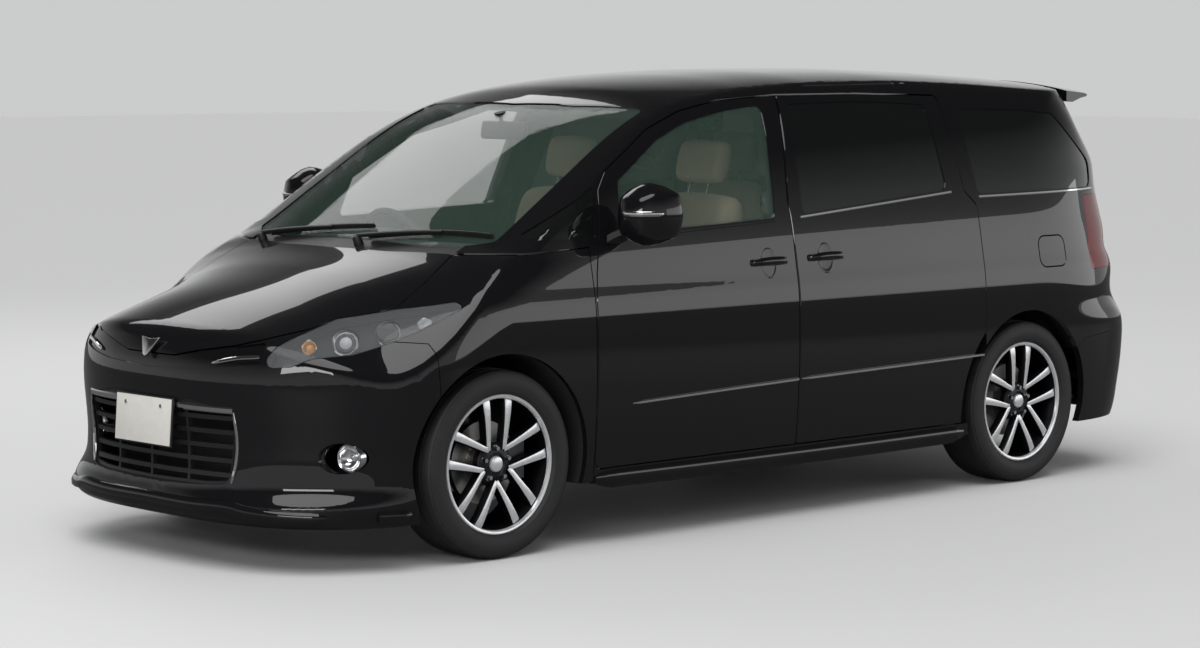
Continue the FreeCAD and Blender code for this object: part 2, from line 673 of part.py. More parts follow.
def strut_mounts():
    along = kingpin_high - kingpin_low
    along.normalize()
    pad = tube(kingpin_high + along * 0.6, kingpin_high + along * 40, 46.0)
    pad = pad.common(arch_cut(front_axle_y, front_arch_radius - 0.4, 400, 900))
    return Part.makeCompound([pad, mirrored(pad)])


def rear_axle():
    """Torsion beam with a trailing arm and a stub for each rear wheel."""
    beam = tube(Vector(-560, rear_axle_y - 130, 300), Vector(560, rear_axle_y - 130, 300), 42.0)
    shape = beam
    for side in (1, -1):
        arm = tube(Vector(side * 540, rear_axle_y - 500, 192),
                   Vector(side * 560, rear_axle_y, axle_height), 30.0)
        bracket = box(min(side * 515, side * 565), max(side * 515, side * 565), rear_axle_y - 520,
                      rear_axle_y - 485, 180, floor_bottom)
        stub = tube(Vector(side * 540, rear_axle_y, axle_height),
                    Vector(side * (wheel_centre_x + 70), rear_axle_y, axle_height), hub_bore - 1.0)
        shape = shape.fuse([arm, stub, bracket])
    return shape


def engine():
    return box(-360, 330, -2080, -1560, floor_bottom + 12, 800)


def fuel_tank():
    return box(-380, 380, -300, 420, 176, floor_bottom)


def exhaust():
    pipe = tube(Vector(250, 500, floor_bottom - 26), Vector(250, 1480, floor_bottom - 26), 26.0)
    rise = tube(Vector(250, 1470, floor_bottom - 26), Vector(250, 1980, 350), 26.0)
    silencer = box(120, 560, 1960, 2200, 290, rear_floor_bottom)
    tail = tube(Vector(480, 2190, 300), Vector(480, 2290, 282), 24.0)
    return pipe.fuse([rise, silencer, tail])


steering_hub = Vector(-385, -905, 1010)
steering_axis = Vector(0, 0.9063, 0.4226)
column_radius = 26.0


def dashboard():
    profile = [(-1160, 984), (-1440, 984, 10), (-1300, 1060, 40), (-1060, 1080, 40), (-960, 1020, 40),
               (-945, 900, 30), (-1010, 640, 30), (-1100, 580, 30), (-1160, 580)]
    body = side_prism(profile, -780, 780).common(under_pillar).common(flap_pocket)
    column = tube(steering_hub - steering_axis * 200, steering_hub, column_radius + 0.6)
    return body.cut(column)


def seat(x, y, width, floor):
    """One seat: base, cushion, back and head restraint."""
    base = box(x - width / 2 + 60, x + width / 2 - 60, y - 210, y + 220, floor, 562)
    cushion = box(x - width / 2, x + width / 2, y - 280, y + 230, 560, 700)
    back = box(x - width / 2 + 10, x + width / 2 - 10, 0, 130, 0, 640)
    back = back.makeFillet(30, back.Edges)
    back.rotate(Vector(x, 0, 0), Vector(1, 0, 0), -16)
    back.translate(Vector(0, y + 190, 660))
    head = box(x - 130, x + 130, 0, 90, 660, 850)
    head = head.makeFillet(30, head.Edges)
    post = box(x - 70, x + 70, 30, 60, 600, 700)
    head = head.fuse(post)
    head.rotate(Vector(x, 0, 0), Vector(1, 0, 0), -16)
    head.translate(Vector(0, y + 190, 660))
    cushion = cushion.makeFillet(30, cushion.Edges)
    return base.fuse([cushion, back, head])


def seat_row(y, places, width, floor):
    return Part.makeCompound([seat(x, y, width, floor) for x in places])


def steering_wheel():
    ring = Part.makeTorus(182, 15, Vector(0, 0, 0), Vector(0, 0, 1))
    hub = Part.makeCylinder(50, 40, Vector(0, 0, -30))
    shape = ring.fuse(hub)
    for angle in (90, 210, 330):
        spoke = Part.makeBox(140, 34, 16, Vector(40, -17, -8))
        spoke.rotate(Vector(0, 0, 0), Vector(0, 0, 1), angle)
        shape = shape.fuse(spoke)
    shape.Placement = FreeCAD.Placement(steering_hub, Rotation(Vector(0, 0, 1), steering_axis))
    return shape


def steering_column():
    start = steering_hub - steering_axis * 30.6
    return tube(start - steering_axis * 140, start, column_radius)


def mirror():
    """Left door mirror on its foot."""
    head = box(935, 1050, -975, -800, 1128, 1305)
    head = head.makeFillet(40, head.Edges)
    foot = box(830, 960, -960, -880, 1118, 1150)
    return head.fuse(foot).cut(outer)


def cowl():
    """Black panel under the windscreen that carries the wipers."""
    edge = cowl_half_width - 0.4
    region = both_sides([(0, -1555), (300, -1542, 400), (470, -1505, 200), (590, -1474, 10), (edge, -1466),
                         (edge, -1430), (400, -1474, 200), (0, -1482)])
    return under_trim.common(plan_prism(region, 900, 1300)).cut(under_roof)


def fuel_flap():
    region = side_prism(fuel_flap_line, 500, 1300, grow=-shut_gap / 2)
    return outer_left.common(region).cut(under_trim)


def left_and_right(name, shape):
    parts[name + "_left"] = shape
    parts[name + "_right"] = mirrored(shape)


def pair(shape):
    return Part.makeCompound([shape, mirrored(shape)])


def build():
    parts["hood"] = hood()
    parts["front_fenders"] = pair(fender())
    parts["front_bumper"] = front_bumper()
    parts["upper_grille"] = upper_grille()
    parts["lower_grille"] = lower_grille()
    parts["headlamp_lenses"] = pair(headlamp_lens())
    parts["headlamp_units"] = pair(headlamp_unit())
    parts["fog_lamps"] = fog_lamps()
    parts["windscreen"] = windscreen()
    parts["roof"] = roof()
    left_and_right("body_side", body_side())
    left_and_right("front_door", front_door())
    left_and_right("sliding_door", sliding_door())
    left_and_right("front_door_glass", side_pane(front_glass_line))
    left_and_right("door_mirror", mirror())
    fixed = [side_pane(line) for line in (sliding_glass_line, quarter_glass_line, corner_glass_line)]
    parts["side_windows"] = Part.makeCompound(fixed + [mirrored(pane) for pane in fixed])
    parts["tailgate"] = tailgate()
    parts["tailgate_glass"] = tailgate_glass()
    parts["tail_lamps"] = pair(tail_lamp())
    parts["rear_bumper"] = rear_bumper()
    parts["cowl"] = cowl()
    parts["fuel_flap"] = fuel_flap()
    parts["underbody"] = underbody()
    parts["strut_mounts"] = strut_mounts()
    parts["front_subframe"] = front_subframe()
    parts["rear_axle"] = rear_axle()
    parts["engine"] = engine()
    parts["fuel_tank"] = fuel_tank()
    parts["exhaust"] = exhaust()
    parts["dashboard"] = dashboard()
    parts["steering_column"] = steering_column()
    parts["steering_wheel"] = steering_wheel()
    parts["front_seats"] = seat_row(-420, (-385, 385), 520, floor_top)
    parts["second_row_seats"] = seat_row(560, (-385, 385), 520, floor_top)
    parts["third_row_seats"] = seat_row(1560, (-290, 290), 480, rear_floor_top)
    left_and_right("knuckle", knuckle())
    for name, side, axle_y in (("front_left", 1, front_axle_y), ("front_right", -1, front_axle_y),
                               ("rear_left", 1, rear_axle_y), ("rear_right", -1, rear_axle_y)):
        parts["tyre_" + name] = tyre(side, axle_y)
        parts["wheel_" + name] = wheel(side, axle_y)


build()
os.makedirs("parts", exist_ok=True)
for name, shape in parts.items():
    shape.exportStep("parts/" + name + ".step")
    print(name, len(shape.Solids), round(shape.Volume / 1e6, 2), shape.isValid())
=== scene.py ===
import bpy
import bmesh
import math
import numpy as np
from mathutils import Matrix, Vector
from mathutils.bvhtree import BVHTree


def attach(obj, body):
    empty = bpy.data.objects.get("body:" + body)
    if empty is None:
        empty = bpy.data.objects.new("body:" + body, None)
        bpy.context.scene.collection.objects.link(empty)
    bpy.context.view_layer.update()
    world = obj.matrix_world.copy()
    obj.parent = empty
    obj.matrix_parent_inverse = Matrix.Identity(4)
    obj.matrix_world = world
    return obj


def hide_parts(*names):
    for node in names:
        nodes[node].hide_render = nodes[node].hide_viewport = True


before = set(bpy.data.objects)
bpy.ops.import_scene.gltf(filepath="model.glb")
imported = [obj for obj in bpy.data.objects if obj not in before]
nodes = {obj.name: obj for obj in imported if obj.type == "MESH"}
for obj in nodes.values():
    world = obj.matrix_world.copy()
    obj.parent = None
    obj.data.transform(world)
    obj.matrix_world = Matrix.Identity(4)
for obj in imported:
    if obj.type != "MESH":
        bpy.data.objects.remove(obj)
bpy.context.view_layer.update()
print("stage: frame loaded")

# Camera at the photograph's angle
camera = {"azimuth": 46.38995, "elevation": 5.11256, "roll": 0.1764, "place": (8.96036, -8.71404, 1.81449),
          "lens": 92.166, "sensor": 36.0}


def makeCamera():
    data = bpy.data.cameras.new("photoCamera")
    data.lens = camera["lens"]
    data.sensor_width = camera["sensor"]
    data.clip_end = 200
    view = bpy.data.objects.new("photoCamera", data)
    around, above = math.radians(camera["azimuth"]), math.radians(camera["elevation"])
    level = math.cos(above)
    back = Vector((math.sin(around) * level, -math.cos(around) * level, math.sin(above)))
    view.rotation_mode = "QUATERNION"
    turn = Matrix.Rotation(math.radians(camera["roll"]), 3, "Z").to_quaternion()
    view.rotation_quaternion = (-back).to_track_quat("-Z", "Y") @ turn
    view.location = camera["place"]
    bpy.context.scene.collection.objects.link(view)
    bpy.context.scene.camera = view


makeCamera()


# Finishes: a Link is a socket of a shader tree, and sums on Links add Math nodes
class Link:
    def __init__(self, tree, socket=None):
        self.tree = tree
        self.socket = socket

    def node(self, kind, settings=None, values=None, output=0):
        made = self.tree.nodes.new(kind)
        for key, value in (settings or {}).items():
            if key == "stops":
                ramp = made.color_ramp.elements
                while len(ramp) < len(value):
                    ramp.new(0.5)
                for stop, (place, shade) in zip(ramp, value):
                    stop.position = place
                    stop.color = shade if isinstance(shade, tuple) else (shade, shade, shade, 1)
            else:
                setattr(made, key, value)
        for key, value in (values or {}).items():
            if isinstance(value, Link):
                self.tree.links.new(value.socket, made.inputs[key])
            else:
                made.inputs[key].default_value = value
        return Link(self.tree, made.outputs[output])

    def maths(self, operation, *others):
        return self.node("ShaderNodeMath", {"operation": operation}, dict(enumerate([self, *others])))

    def __add__(self, other):
        return self.maths("ADD", other)

    def __mul__(self, other):
        return self.maths("MULTIPLY", other)

    def __rsub__(self, other):
        return self.maths("MULTIPLY", -1.0).maths("ADD", other)


def material(name, **fixed):
    made = bpy.data.materials.new(name)
    made.use_nodes = True
    tree = made.node_tree
    shader = tree.nodes["Principled BSDF"]
    for key, value in fixed.items():
        shader.inputs[key.replace("_", " ")].default_value = value
    start = Link(tree)
    place = start.node("ShaderNodeTexCoord", output="Object")
    return made, start, place, shader


def drive(shader, **links):
    for key, link in links.items():
        link.tree.links.new(link.socket, shader.inputs[key.replace("_", " ")])


def noise(start, place, scale, detail=3.0, roughness=0.55):
    return start.node("ShaderNodeTexNoise", {}, {"Vector": place, "Scale": scale, "Detail": detail,
                                                 "Roughness": roughness})


def blendColours(start, mask, dark, light):
    return start.node("ShaderNodeMix", {"data_type": "RGBA"}, {0: mask, 6: dark, 7: light}, output=2)


def ramp(start, value, stops):
    return start.node("ShaderNodeValToRGB", {"stops": stops}, {"Fac": value})


def bump(start, height, distance, strength):
    return start.node("ShaderNodeBump", {}, {"Height": height, "Distance": distance, "Strength": strength})


def darkened(colour, share):
    return tuple(c * share for c in colour[:3]) + (1,)


def finish(name, dark, light, patchScale, rough, grain=None, texture=(3.0, 0.55), **fixed):
    # Noise blends two colours and two roughnesses; a finer noise gives the grain.
    made, start, place, shader = material(name, **fixed)
    patch = noise(start, place, patchScale, *texture)
    roughLow, roughSpan = rough
    drive(shader, Base_Color=blendColours(start, patch, dark, light), Roughness=patch * roughSpan + roughLow)
    if grain:
        grainScale, depth, strength = grain
        drive(shader, Normal=bump(start, noise(start, place, grainScale), depth, strength))
    return made


def plastic(name, colour, rough, grain=900.0, depth=0.0002):
    return finish(name, darkened(colour, 0.75), colour, 6.0, (rough - 0.06, 0.12), (grain, depth, 0.6),
                  Roughness=rough)


def metal(name, colour, rough, grain=300.0, depth=0.00004):
    return finish(name, darkened(colour, 0.86), colour, 9.0, (rough - 0.04, 0.08), (grain, depth, 0.5),
                  Metallic=1.0, Roughness=rough)


def glass(name, colour, opacity):
    return finish(name, darkened(colour, 0.9), colour, 2.2, (0.0, 0.02), Roughness=0.0, Alpha=opacity,
                  Coat_Weight=1.0, Coat_Roughness=0.0, IOR=1.5)


def paintFinish():
    made, start, place, shader = material("glossBlackPaint", Roughness=0.3, IOR=1.08, Coat_Weight=1.0,
                                          Coat_Roughness=0.015, Coat_IOR=1.5)
    flake = noise(start, place, 2600.0, 1.0)
    cloud = noise(start, place, 1.4)
    colour = blendColours(start, flake, (0.0035, 0.0035, 0.004, 1), (0.009, 0.009, 0.0105, 1))
    drive(shader, Base_Color=colour, Roughness=cloud * 0.06 + 0.2)
    return made


def clothFinish():
    made, start, place, shader = material("seatCloth", Roughness=0.9, Sheen_Weight=0.25)
    threads = [start.node("ShaderNodeTexWave", {"bands_direction": axis}, {"Vector": place, "Scale": 260.0})
               for axis in "XZ"]
    weave = threads[0] + threads[1]
    shade = noise(start, place, 7.0) * 0.7 + weave * 0.15
    drive(shader, Base_Color=blendColours(start, shade, (0.42, 0.34, 0.23, 1), (0.66, 0.56, 0.41, 1)),
          Normal=bump(start, weave, 0.0005, 0.5))
    return made


paint = paintFinish()
blackTrim = plastic("blackTrim", (0.012, 0.012, 0.012, 1), 0.42)
glossTrim = plastic("glossBlackTrim", (0.006, 0.006, 0.006, 1), 0.14, depth=0.00002)
underCoat = plastic("underCoat", (0.02, 0.02, 0.02, 1), 0.7, 300.0, 0.0006)
dashPlastic = plastic("dashPlastic", (0.035, 0.036, 0.037, 1), 0.6, 800.0, 0.0004)
chrome = metal("brightChrome", (0.88, 0.88, 0.89, 1), 0.07, depth=0.00001)
lampMirror = metal("lampReflector", (0.9, 0.9, 0.92, 1), 0.12, 120.0, 0.0006)
lampBezel = plastic("lampBezel", (0.03, 0.031, 0.033, 1), 0.25, depth=0.00003)
alloyDark = metal("darkAlloy", (0.05, 0.05, 0.055, 1), 0.4)
machined = finish("machinedAlloy", (0.72, 0.73, 0.75, 1), (0.86, 0.87, 0.89, 1), 70.0, (0.2, 0.1),
                  texture=(2.0, 0.5), Metallic=0.6, Roughness=0.24)
discSteel = metal("brakeSteel", (0.42, 0.41, 0.4, 1), 0.32, 150.0, 0.0002)
castMetal = metal("castMetal", (0.16, 0.16, 0.17, 1), 0.55, 260.0, 0.0006)
exhaustSteel = metal("exhaustSteel", (0.5, 0.48, 0.45, 1), 0.3)
tyreRubber = finish("tyreRubber", (0.012, 0.012, 0.012, 1), (0.022, 0.022, 0.022, 1), 14.0, (0.52, 0.15),
                    (500.0, 0.0004, 0.5), Roughness=0.62)
seatCloth = clothFinish()
plateEnamel = finish("plateEnamel", (0.6, 0.585, 0.55, 1), (0.72, 0.70, 0.66, 1), 30.0, (0.3, 0.1),
                     Roughness=0.35)
clearGlass = glass("greenTintGlass", (0.10, 0.16, 0.13, 1), 0.22)
darkGlass = glass("privacyGlass", (0.006, 0.007, 0.007, 1), 0.88)
clearLens = glass("clearLens", (0.5, 0.52, 0.53, 1), 0.10)
amberLens = plastic("amberBulb", (0.75, 0.36, 0.08, 1), 0.2)
clearCore = plastic("projectorGlass", (0.55, 0.57, 0.6, 1), 0.06, depth=0.00001)
redLens = plastic("redLens", (0.16, 0.006, 0.008, 1), 0.08, 60.0, 0.0004)
print("stage: finishes made")


# The body's shape, for normals and for placing trim: these curves are in millimetres
def smoothCurve(points):
    places = np.array([p[0] for p in points], float)
    values = np.array([p[1] for p in points], float)
    steps = np.diff(values) / np.diff(places)
    slopes = np.zeros(len(points))
    slopes[0], slopes[-1] = steps[0], steps[-1]
    for i in range(1, len(points) - 1):
        if steps[i - 1] * steps[i] > 0:
            slopes[i] = 2 * steps[i - 1] * steps[i] / (steps[i - 1] + steps[i])

    def curve(place):
        place = np.asarray(place, float)
        i = np.clip(np.searchsorted(places, place, side="right") - 1, 0, len(places) - 2)
        width = places[i + 1] - places[i]
        t = (place - places[i]) / width
        s = np.clip(t, 0, 1)
        inside = ((2 * s ** 3 - 3 * s ** 2 + 1) * values[i] + (s ** 3 - 2 * s ** 2 + s) * width * slopes[i]
                  + (3 * s ** 2 - 2 * s ** 3) * values[i + 1] + (s ** 3 - s ** 2) * width * slopes[i + 1])
        beyond = (t - s) * width * np.where(t > 1, slopes[i + 1], slopes[i])
        return inside + beyond

    return curve


spine = smoothCurve([(-2500, 740), (-2400, 795), (-2330, 831), (-2100, 920), (-1800, 1008), (-1560, 1078),
                     (-1470, 1122), (-1340, 1202), (-1100, 1352), (-900, 1472), (-745, 1558), (-600, 1620),
                     (-420, 1672), (-200, 1702), (0, 1718), (400, 1735), (800, 1738), (1200, 1730),
                     (1700, 1708), (2100, 1682), (2400, 1655), (2600, 1630)])
crown = smoothCurve([(-2500, 70), (-2016, 80), (-1775, 60), (-1560, 36), (-1470, 42), (-1340, 66),
                     (-1100, 72), (-745, 62), (-420, 48), (0, 42), (1000, 40), (2400, 40)])
rolloff = smoothCurve([(-2500, 80), (-2016, 85), (-1775, 58), (-1560, 26), (-1400, 8), (-1100, 6),
                       (-745, 12), (-300, 24), (0, 30), (2400, 32)])
halfWidth = smoothCurve([(150, 858), (230, 880), (350, 893), (500, 902), (620, 905), (760, 903), (880, 898),
                         (960, 884), (1120, 856), (1250, 822), (1400, 772), (1550, 712), (1640, 668),
                         (1720, 610), (1900, 460)])
frontEnd = smoothCurve([(150, -2330), (185, -2398), (230, -2404), (290, -2388), (420, -2388), (560, -2400),
                        (650, -2405), (720, -2392), (790, -2360), (850, -2320), (1000, -2260),
                        (1200, -2240), (1900, -2200)])
rearEnd = smoothCurve([(150, 2330), (260, 2375), (400, 2396), (560, 2407), (660, 2402), (720, 2368),
                       (850, 2362), (1000, 2358), (1120, 2348), (1200, 2325), (1300, 2275), (1450, 2195),
                       (1600, 2110), (1720, 2040), (1900, 1900)])
noseStart = smoothCurve([(150, -1560), (700, -1560), (900, -1400), (1100, -900), (1900, -300)])
tailStart = smoothCurve([(150, 1500), (700, 1500), (1200, 1300), (1900, 1200)])
nosePower = smoothCurve([(150, 3.1), (230, 3.0), (300, 2.6), (420, 2.45), (1900, 2.4)])
tailPower = smoothCurve([(150, 4.0), (650, 4.2), (760, 3.6), (1100, 3.6), (1300, 4.4), (1500, 6.0),
                         (1900, 6.2)])


def topGap(x, y, z):
    reach = x / 700.0
    return z - (spine(y) - crown(y) * reach ** 2 - rolloff(y) * reach ** 4)


def sideGap(x, y, z):
    wide = halfWidth(z)
    nose = np.clip((noseStart(z) - y) / (noseStart(z) - frontEnd(z)), 0, 2)
    tail = np.clip((y - tailStart(z)) / (rearEnd(z) - tailStart(z)), 0, 2)
    power = np.where(nose > 0, nosePower(z), np.where(tail > 0, tailPower(z), 2.4))
    bend = np.maximum(nose, tail)
    return ((np.abs(x) / wide) ** power + bend ** power) ** (1 / power) - 1


def gradient(field, points):
    small = 1.5
    steps = []
    for axis in range(3):
        ahead, behind = points.copy(), points.copy()
        ahead[:, axis] += small
        behind[:, axis] -= small
        steps.append((field(*ahead.T) - field(*behind.T)) / (2 * small))
    slope = np.stack(steps, 1)
    length = np.linalg.norm(slope, axis=1, keepdims=True)
    return slope / np.maximum(length, 1e-12), field(*points.T) / np.maximum(length[:, 0], 1e-12)


skinRules = {"near": 14.0, "edgeRound": 26.0, "agree": 0.86, "longEdge": 0.055}
mm, skinEnd, halvings = 1000.0, 2500.0, 40


def skinNormals(points):
    # Outward normal of the smooth skin at points in metres, and how far each is from it.
    place = points * mm
    sideNormal, sideFar = gradient(sideGap, place)
    topNormal, topFar = gradient(topGap, place)
    reach = skinRules["edgeRound"]
    share = np.clip(0.5 + (topFar - sideFar) / (2 * reach), 0, 1)
    share = (share * share * (3 - 2 * share))[:, None]
    mixed = topNormal * share + sideNormal * (1 - share)
    mixed /= np.linalg.norm(mixed, axis=1, keepdims=True)
    return mixed, np.maximum(sideFar, topFar)


def skinEdge(outside, outer):
    # Halves the way from the middle of the body to a place outside it, down to the skin.
    inner = 0.0
    for _ in range(halvings):
        middle = (inner + outer) / 2
        if outside(middle):
            outer = middle
        else:
            inner = middle
    return inner / mm


def skinX(y, z):
    # Half width of the skin in metres at a place along the body and a height.
    y, z = y * mm, z * mm
    return skinEdge(lambda x: sideGap(x, y, z) > 0 or topGap(x, y, z) > 0, mm)


def skinY(x, z, front=True):
    # Place along the body of the nose or the tail.
    x, z = x * mm, z * mm
    return skinEdge(lambda y: sideGap(x, y, z) > 0 or topGap(x, y, z) > 0, -skinEnd if front else skinEnd)


def skinZ(x, y):
    return float(-topGap(x * mm, y * mm, 0.0)) / mm


def skinNormal(point):
    return Vector(skinNormals(np.array([point], float))[0][0])


def link(name, mesh, body, materials, slot=None, stands=()):
    made = bpy.data.objects.new(name, mesh)
    bpy.context.scene.collection.objects.link(made)
    for finish in materials:
        mesh.materials.append(finish)
    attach(made, body)
    if stands:
        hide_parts(*stands)
    return made


def finishPiece(name, bm, body, materials, slot=None, stands=(), sharp=35.0, outwards=True):
    bmesh.ops.remove_doubles(bm, verts=bm.verts, dist=0.00002)
    if outwards:
        bmesh.ops.recalc_face_normals(bm, faces=bm.faces)
    mesh = bpy.data.meshes.new(name)
    bm.to_mesh(mesh)
    bm.free()
    mesh.shade_smooth()
    mesh.set_sharp_from_angle(angle=math.radians(sharp))
    return link(name, mesh, body, materials, slot, stands)


def panel(name, node, body, finish, slot):
    # Merged copy of a CAD panel, with the normals of the smooth skin on its outside.
    bm = bmesh.new()
    bm.from_mesh(nodes[node].data)
    bmesh.ops.remove_doubles(bm, verts=bm.verts, dist=0.00001)
    for _ in range(4):
        longEdges = [e for e in bm.edges if e.calc_length() > skinRules["longEdge"]]
        if not longEdges:
            break
        bmesh.ops.subdivide_edges(bm, edges=longEdges, cuts=1)
        bmesh.ops.triangulate(bm, faces=[f for f in bm.faces if len(f.verts) > 3])
    mesh = bpy.data.meshes.new(name)
    bm.to_mesh(mesh)
    bm.free()
    mesh.shade_smooth()
    mesh.set_sharp_from_angle(angle=math.radians(30))
    count = len(mesh.vertices)
    places = np.zeros(count * 3)
    mesh.vertices.foreach_get("co", places)
    smoothed, far = skinNormals(places.reshape(-1, 3))
    corners = np.zeros(len(mesh.loops), int)
    mesh.loops.foreach_get("vertex_index", corners)
    faceNormals = np.zeros(len(mesh.polygons) * 3)
    mesh.polygons.foreach_get("normal", faceNormals)
    sizes = np.zeros(len(mesh.polygons), int)
    mesh.polygons.foreach_get("loop_total", sizes)
    perCorner = np.repeat(faceNormals.reshape(-1, 3), sizes, axis=0)
    wanted = smoothed[corners]
    agrees = (np.einsum("ij,ij->i", perCorner, wanted) > skinRules["agree"])
    agrees &= np.abs(far[corners]) < skinRules["near"]
    wanted[~agrees] = 0.0
    made = link(name, mesh, body, [finish], slot, (node,))
    mesh.normals_split_custom_set([tuple(n) for n in wanted])
    return made


def camel(node):
    first, *others = node.split("_")
    return first + "".join(word.capitalize() for word in others)


pieceNames = {"roof": "roofPanel", "hood": "hoodPanel", "tailgate": "tailgatePanel",
              "windscreen": "windscreenGlass"}
skinPanels = [(paint, "paint", "body", "front_fenders front_bumper roof body_side_left body_side_right "
                                       "sliding_door_left sliding_door_right rear_bumper"),
              (paint, "paint", "hood", "hood"), (paint, "paint", "tailgate", "tailgate"),
              (paint, "paint", "front_door_left", "front_door_left"),
              (paint, "paint", "front_door_right", "front_door_right"),
              (paint, "paint", "fuel_flap", "fuel_flap"),
              (clearGlass, "clear_glass", "body", "windscreen"),
              (clearGlass, "clear_glass", "front_door_left", "front_door_glass_left"),
              (clearGlass, "clear_glass", "front_door_right", "front_door_glass_right"),
              (darkGlass, "dark_glass", "body", "side_windows"),
              (darkGlass, "dark_glass", "tailgate", "tailgate_glass"),
              (clearLens, "clear_lens", "body", "headlamp_lenses"),
              (redLens, "red_lens", "body", "tail_lamps")]
for look, slotName, riding, listed in skinPanels:
    for nodeName in listed.split():
        panel(pieceNames.get(nodeName, camel(nodeName)), nodeName, riding, look, slotName)
print("stage: panels smoothed")

# Finishes of the pieces that keep their CAD shape
nodeFinishes = [(glossTrim, "upper_grille"), (blackTrim, "lower_grille cowl strut_mounts fuel_tank"),
                (lampBezel, "headlamp_units"), (chrome, "fog_lamps"),
                (underCoat, "underbody front_subframe rear_axle"),
                (castMetal, "engine knuckle_left knuckle_right"), (exhaustSteel, "exhaust"),
                (dashPlastic, "dashboard steering_column steering_wheel"),
                (seatCloth, "front_seats second_row_seats third_row_seats"),
                (paint, "door_mirror_left door_mirror_right")]
for look, listed in nodeFinishes:
    for nodeName in listed.split():
        carried = nodes[nodeName].data
        carried.materials.clear()
        carried.materials.append(look)


# Helpers for bmeshes
def flipX(bm):
    # To the other side of the car.
    bmesh.ops.scale(bm, vec=(-1, 1, 1), verts=bm.verts)


def moved(bm, shift, lean=0.0):
    # Leans a shape about the X axis by degrees and moves it.
    if lean:
        turn = Matrix.Rotation(math.radians(lean), 3, "X")
        bmesh.ops.rotate(bm, cent=(0, 0, 0), matrix=turn, verts=bm.verts)
    bmesh.ops.translate(bm, vec=shift, verts=bm.verts)


def transformed(bm, matrix):
    bmesh.ops.transform(bm, matrix=matrix, verts=bm.verts)


def rounded(bm, edges, width, segments):
    bmesh.ops.bevel(bm, geom=edges, offset=width, offset_type="OFFSET", segments=segments, profile=0.5,
                    affect="EDGES", material=-1)


def addShape(bm, part, material=None):
    # Joins one bmesh into another.
    if material is not None:
        for face in part.faces:
            face.material_index = material
    holder = bpy.data.meshes.new("partHolder")
    part.to_mesh(holder)
    part.free()
    bm.from_mesh(holder)
    bpy.data.meshes.remove(holder)


# Road wheels
tyre = {"radius": 0.341, "half": 0.1125, "bead": 0.2525, "tread": 0.006, "steps": 112}
rim = {"lip": 0.2515, "half": 0.098, "barrel": 0.225, "hub": 0.066, "bore": 0.0275, "face": 0.092,
       "pairOffset": 0.037, "pairAtRim": 0.055, "widthIn": 0.0095, "widthOut": 0.0185, "nutCircle": 0.057,
       "steps": 96}
brake = {"radius": 0.150, "thick": 0.026, "inner": -0.020}
wheelSpots = {"front_left": (1, -1.492), "front_right": (-1, -1.492), "rear_left": (1, 1.458),
              "rear_right": (-1, 1.458)}
axleHeight, wheelX = 0.341, 0.768


def spun(bm, profile, steps, closed=True, material=0):
    # Turns a profile of (x, radius) points about the X axis.
    verts = [bm.verts.new((x, 0, r)) for x, r in profile]
    pairs = list(zip(verts, verts[1:] + ([verts[0]] if closed else [])))
    edges = [bm.edges.new(p) for p in pairs if p[0] != p[1]]
    before = set(bm.faces)
    bmesh.ops.spin(bm, geom=verts + edges, axis=(1, 0, 0), cent=(0, 0, 0), dvec=(0, 0, 0),
                   angle=math.tau, steps=steps, use_merge=True)
    for face in set(bm.faces) - before:
        face.material_index = material


def placeWheel(bm, side, axleY):
    if side < 0:
        flipX(bm)
    moved(bm, (side * wheelX, axleY, axleHeight))


def makeTyre(name, side, axleY):
    bm = bmesh.new()
    r, h = tyre["radius"], tyre["half"]
    groove = r - tyre["tread"] - 0.001
    half = [(-h + 0.016, tyre["bead"]), (-h + 0.006, 0.262), (-h + 0.001, 0.278), (-h, 0.292),
            (-h + 0.001, 0.305), (-h + 0.004, 0.318), (-h + 0.0095, 0.3285), (-h + 0.012, 0.3282),
            (-h + 0.017, 0.3345), (-h + 0.024, 0.3372)]
    for edge in (-0.060, -0.022):
        half += [(edge - 0.005, r - 0.0016), (edge - 0.0035, groove), (edge + 0.0035, groove),
                 (edge + 0.005, r - 0.001)]
    profile = half + [(-x, radius) for x, radius in reversed(half)]
    inner = [(h - 0.03, tyre["bead"] + 0.004), (-h + 0.03, tyre["bead"] + 0.004)]
    spun(bm, profile + inner, tyre["steps"])
    placeWheel(bm, side, axleY)
    finishPiece("tyre" + name, bm, "road_wheel_" + name, [tyreRubber], "tyre", ("tyre_" + name,), sharp=28)


def spoke(bm, offsetIn, offsetOut):
    # One tapered spoke along +Z, machined on its face and dark on its sides.
    bmesh.ops.create_cube(bm, size=1.0)
    lengthwise = [e for e in bm.edges if abs(e.verts[0].co.z - e.verts[1].co.z) > 0.5]
    bmesh.ops.subdivide_edges(bm, edges=lengthwise, cuts=7)
    inner, outer = 0.050, rim["lip"] - 0.005
    for vert in bm.verts:
        t = vert.co.z + 0.5
        radius = inner + (outer - inner) * t
        offset = offsetIn + (offsetOut - offsetIn) * t ** 1.15
        wide = rim["widthIn"] + (rim["widthOut"] - rim["widthIn"]) * t ** 1.6
        depth = 0.030 + 0.006 * (1 - t)
        front = rim["face"] - 0.012 + 0.009 * math.sin(t * math.pi * 0.5) - 0.010 * t ** 6
        top = vert.co.x > 0
        wide *= 1.0 if top else 1.35
        vert.co = Vector((front if top else front - depth, offset + vert.co.y * 2 * wide, radius))
    for face in bm.faces:
        face.normal_update()
        face.material_index = 0 if face.normal.x > 0.75 else 1
    rounded(bm, [e for e in bm.edges if len(e.link_faces) == 2 and e.calc_face_angle(0) > 0.9], 0.0022, 2)


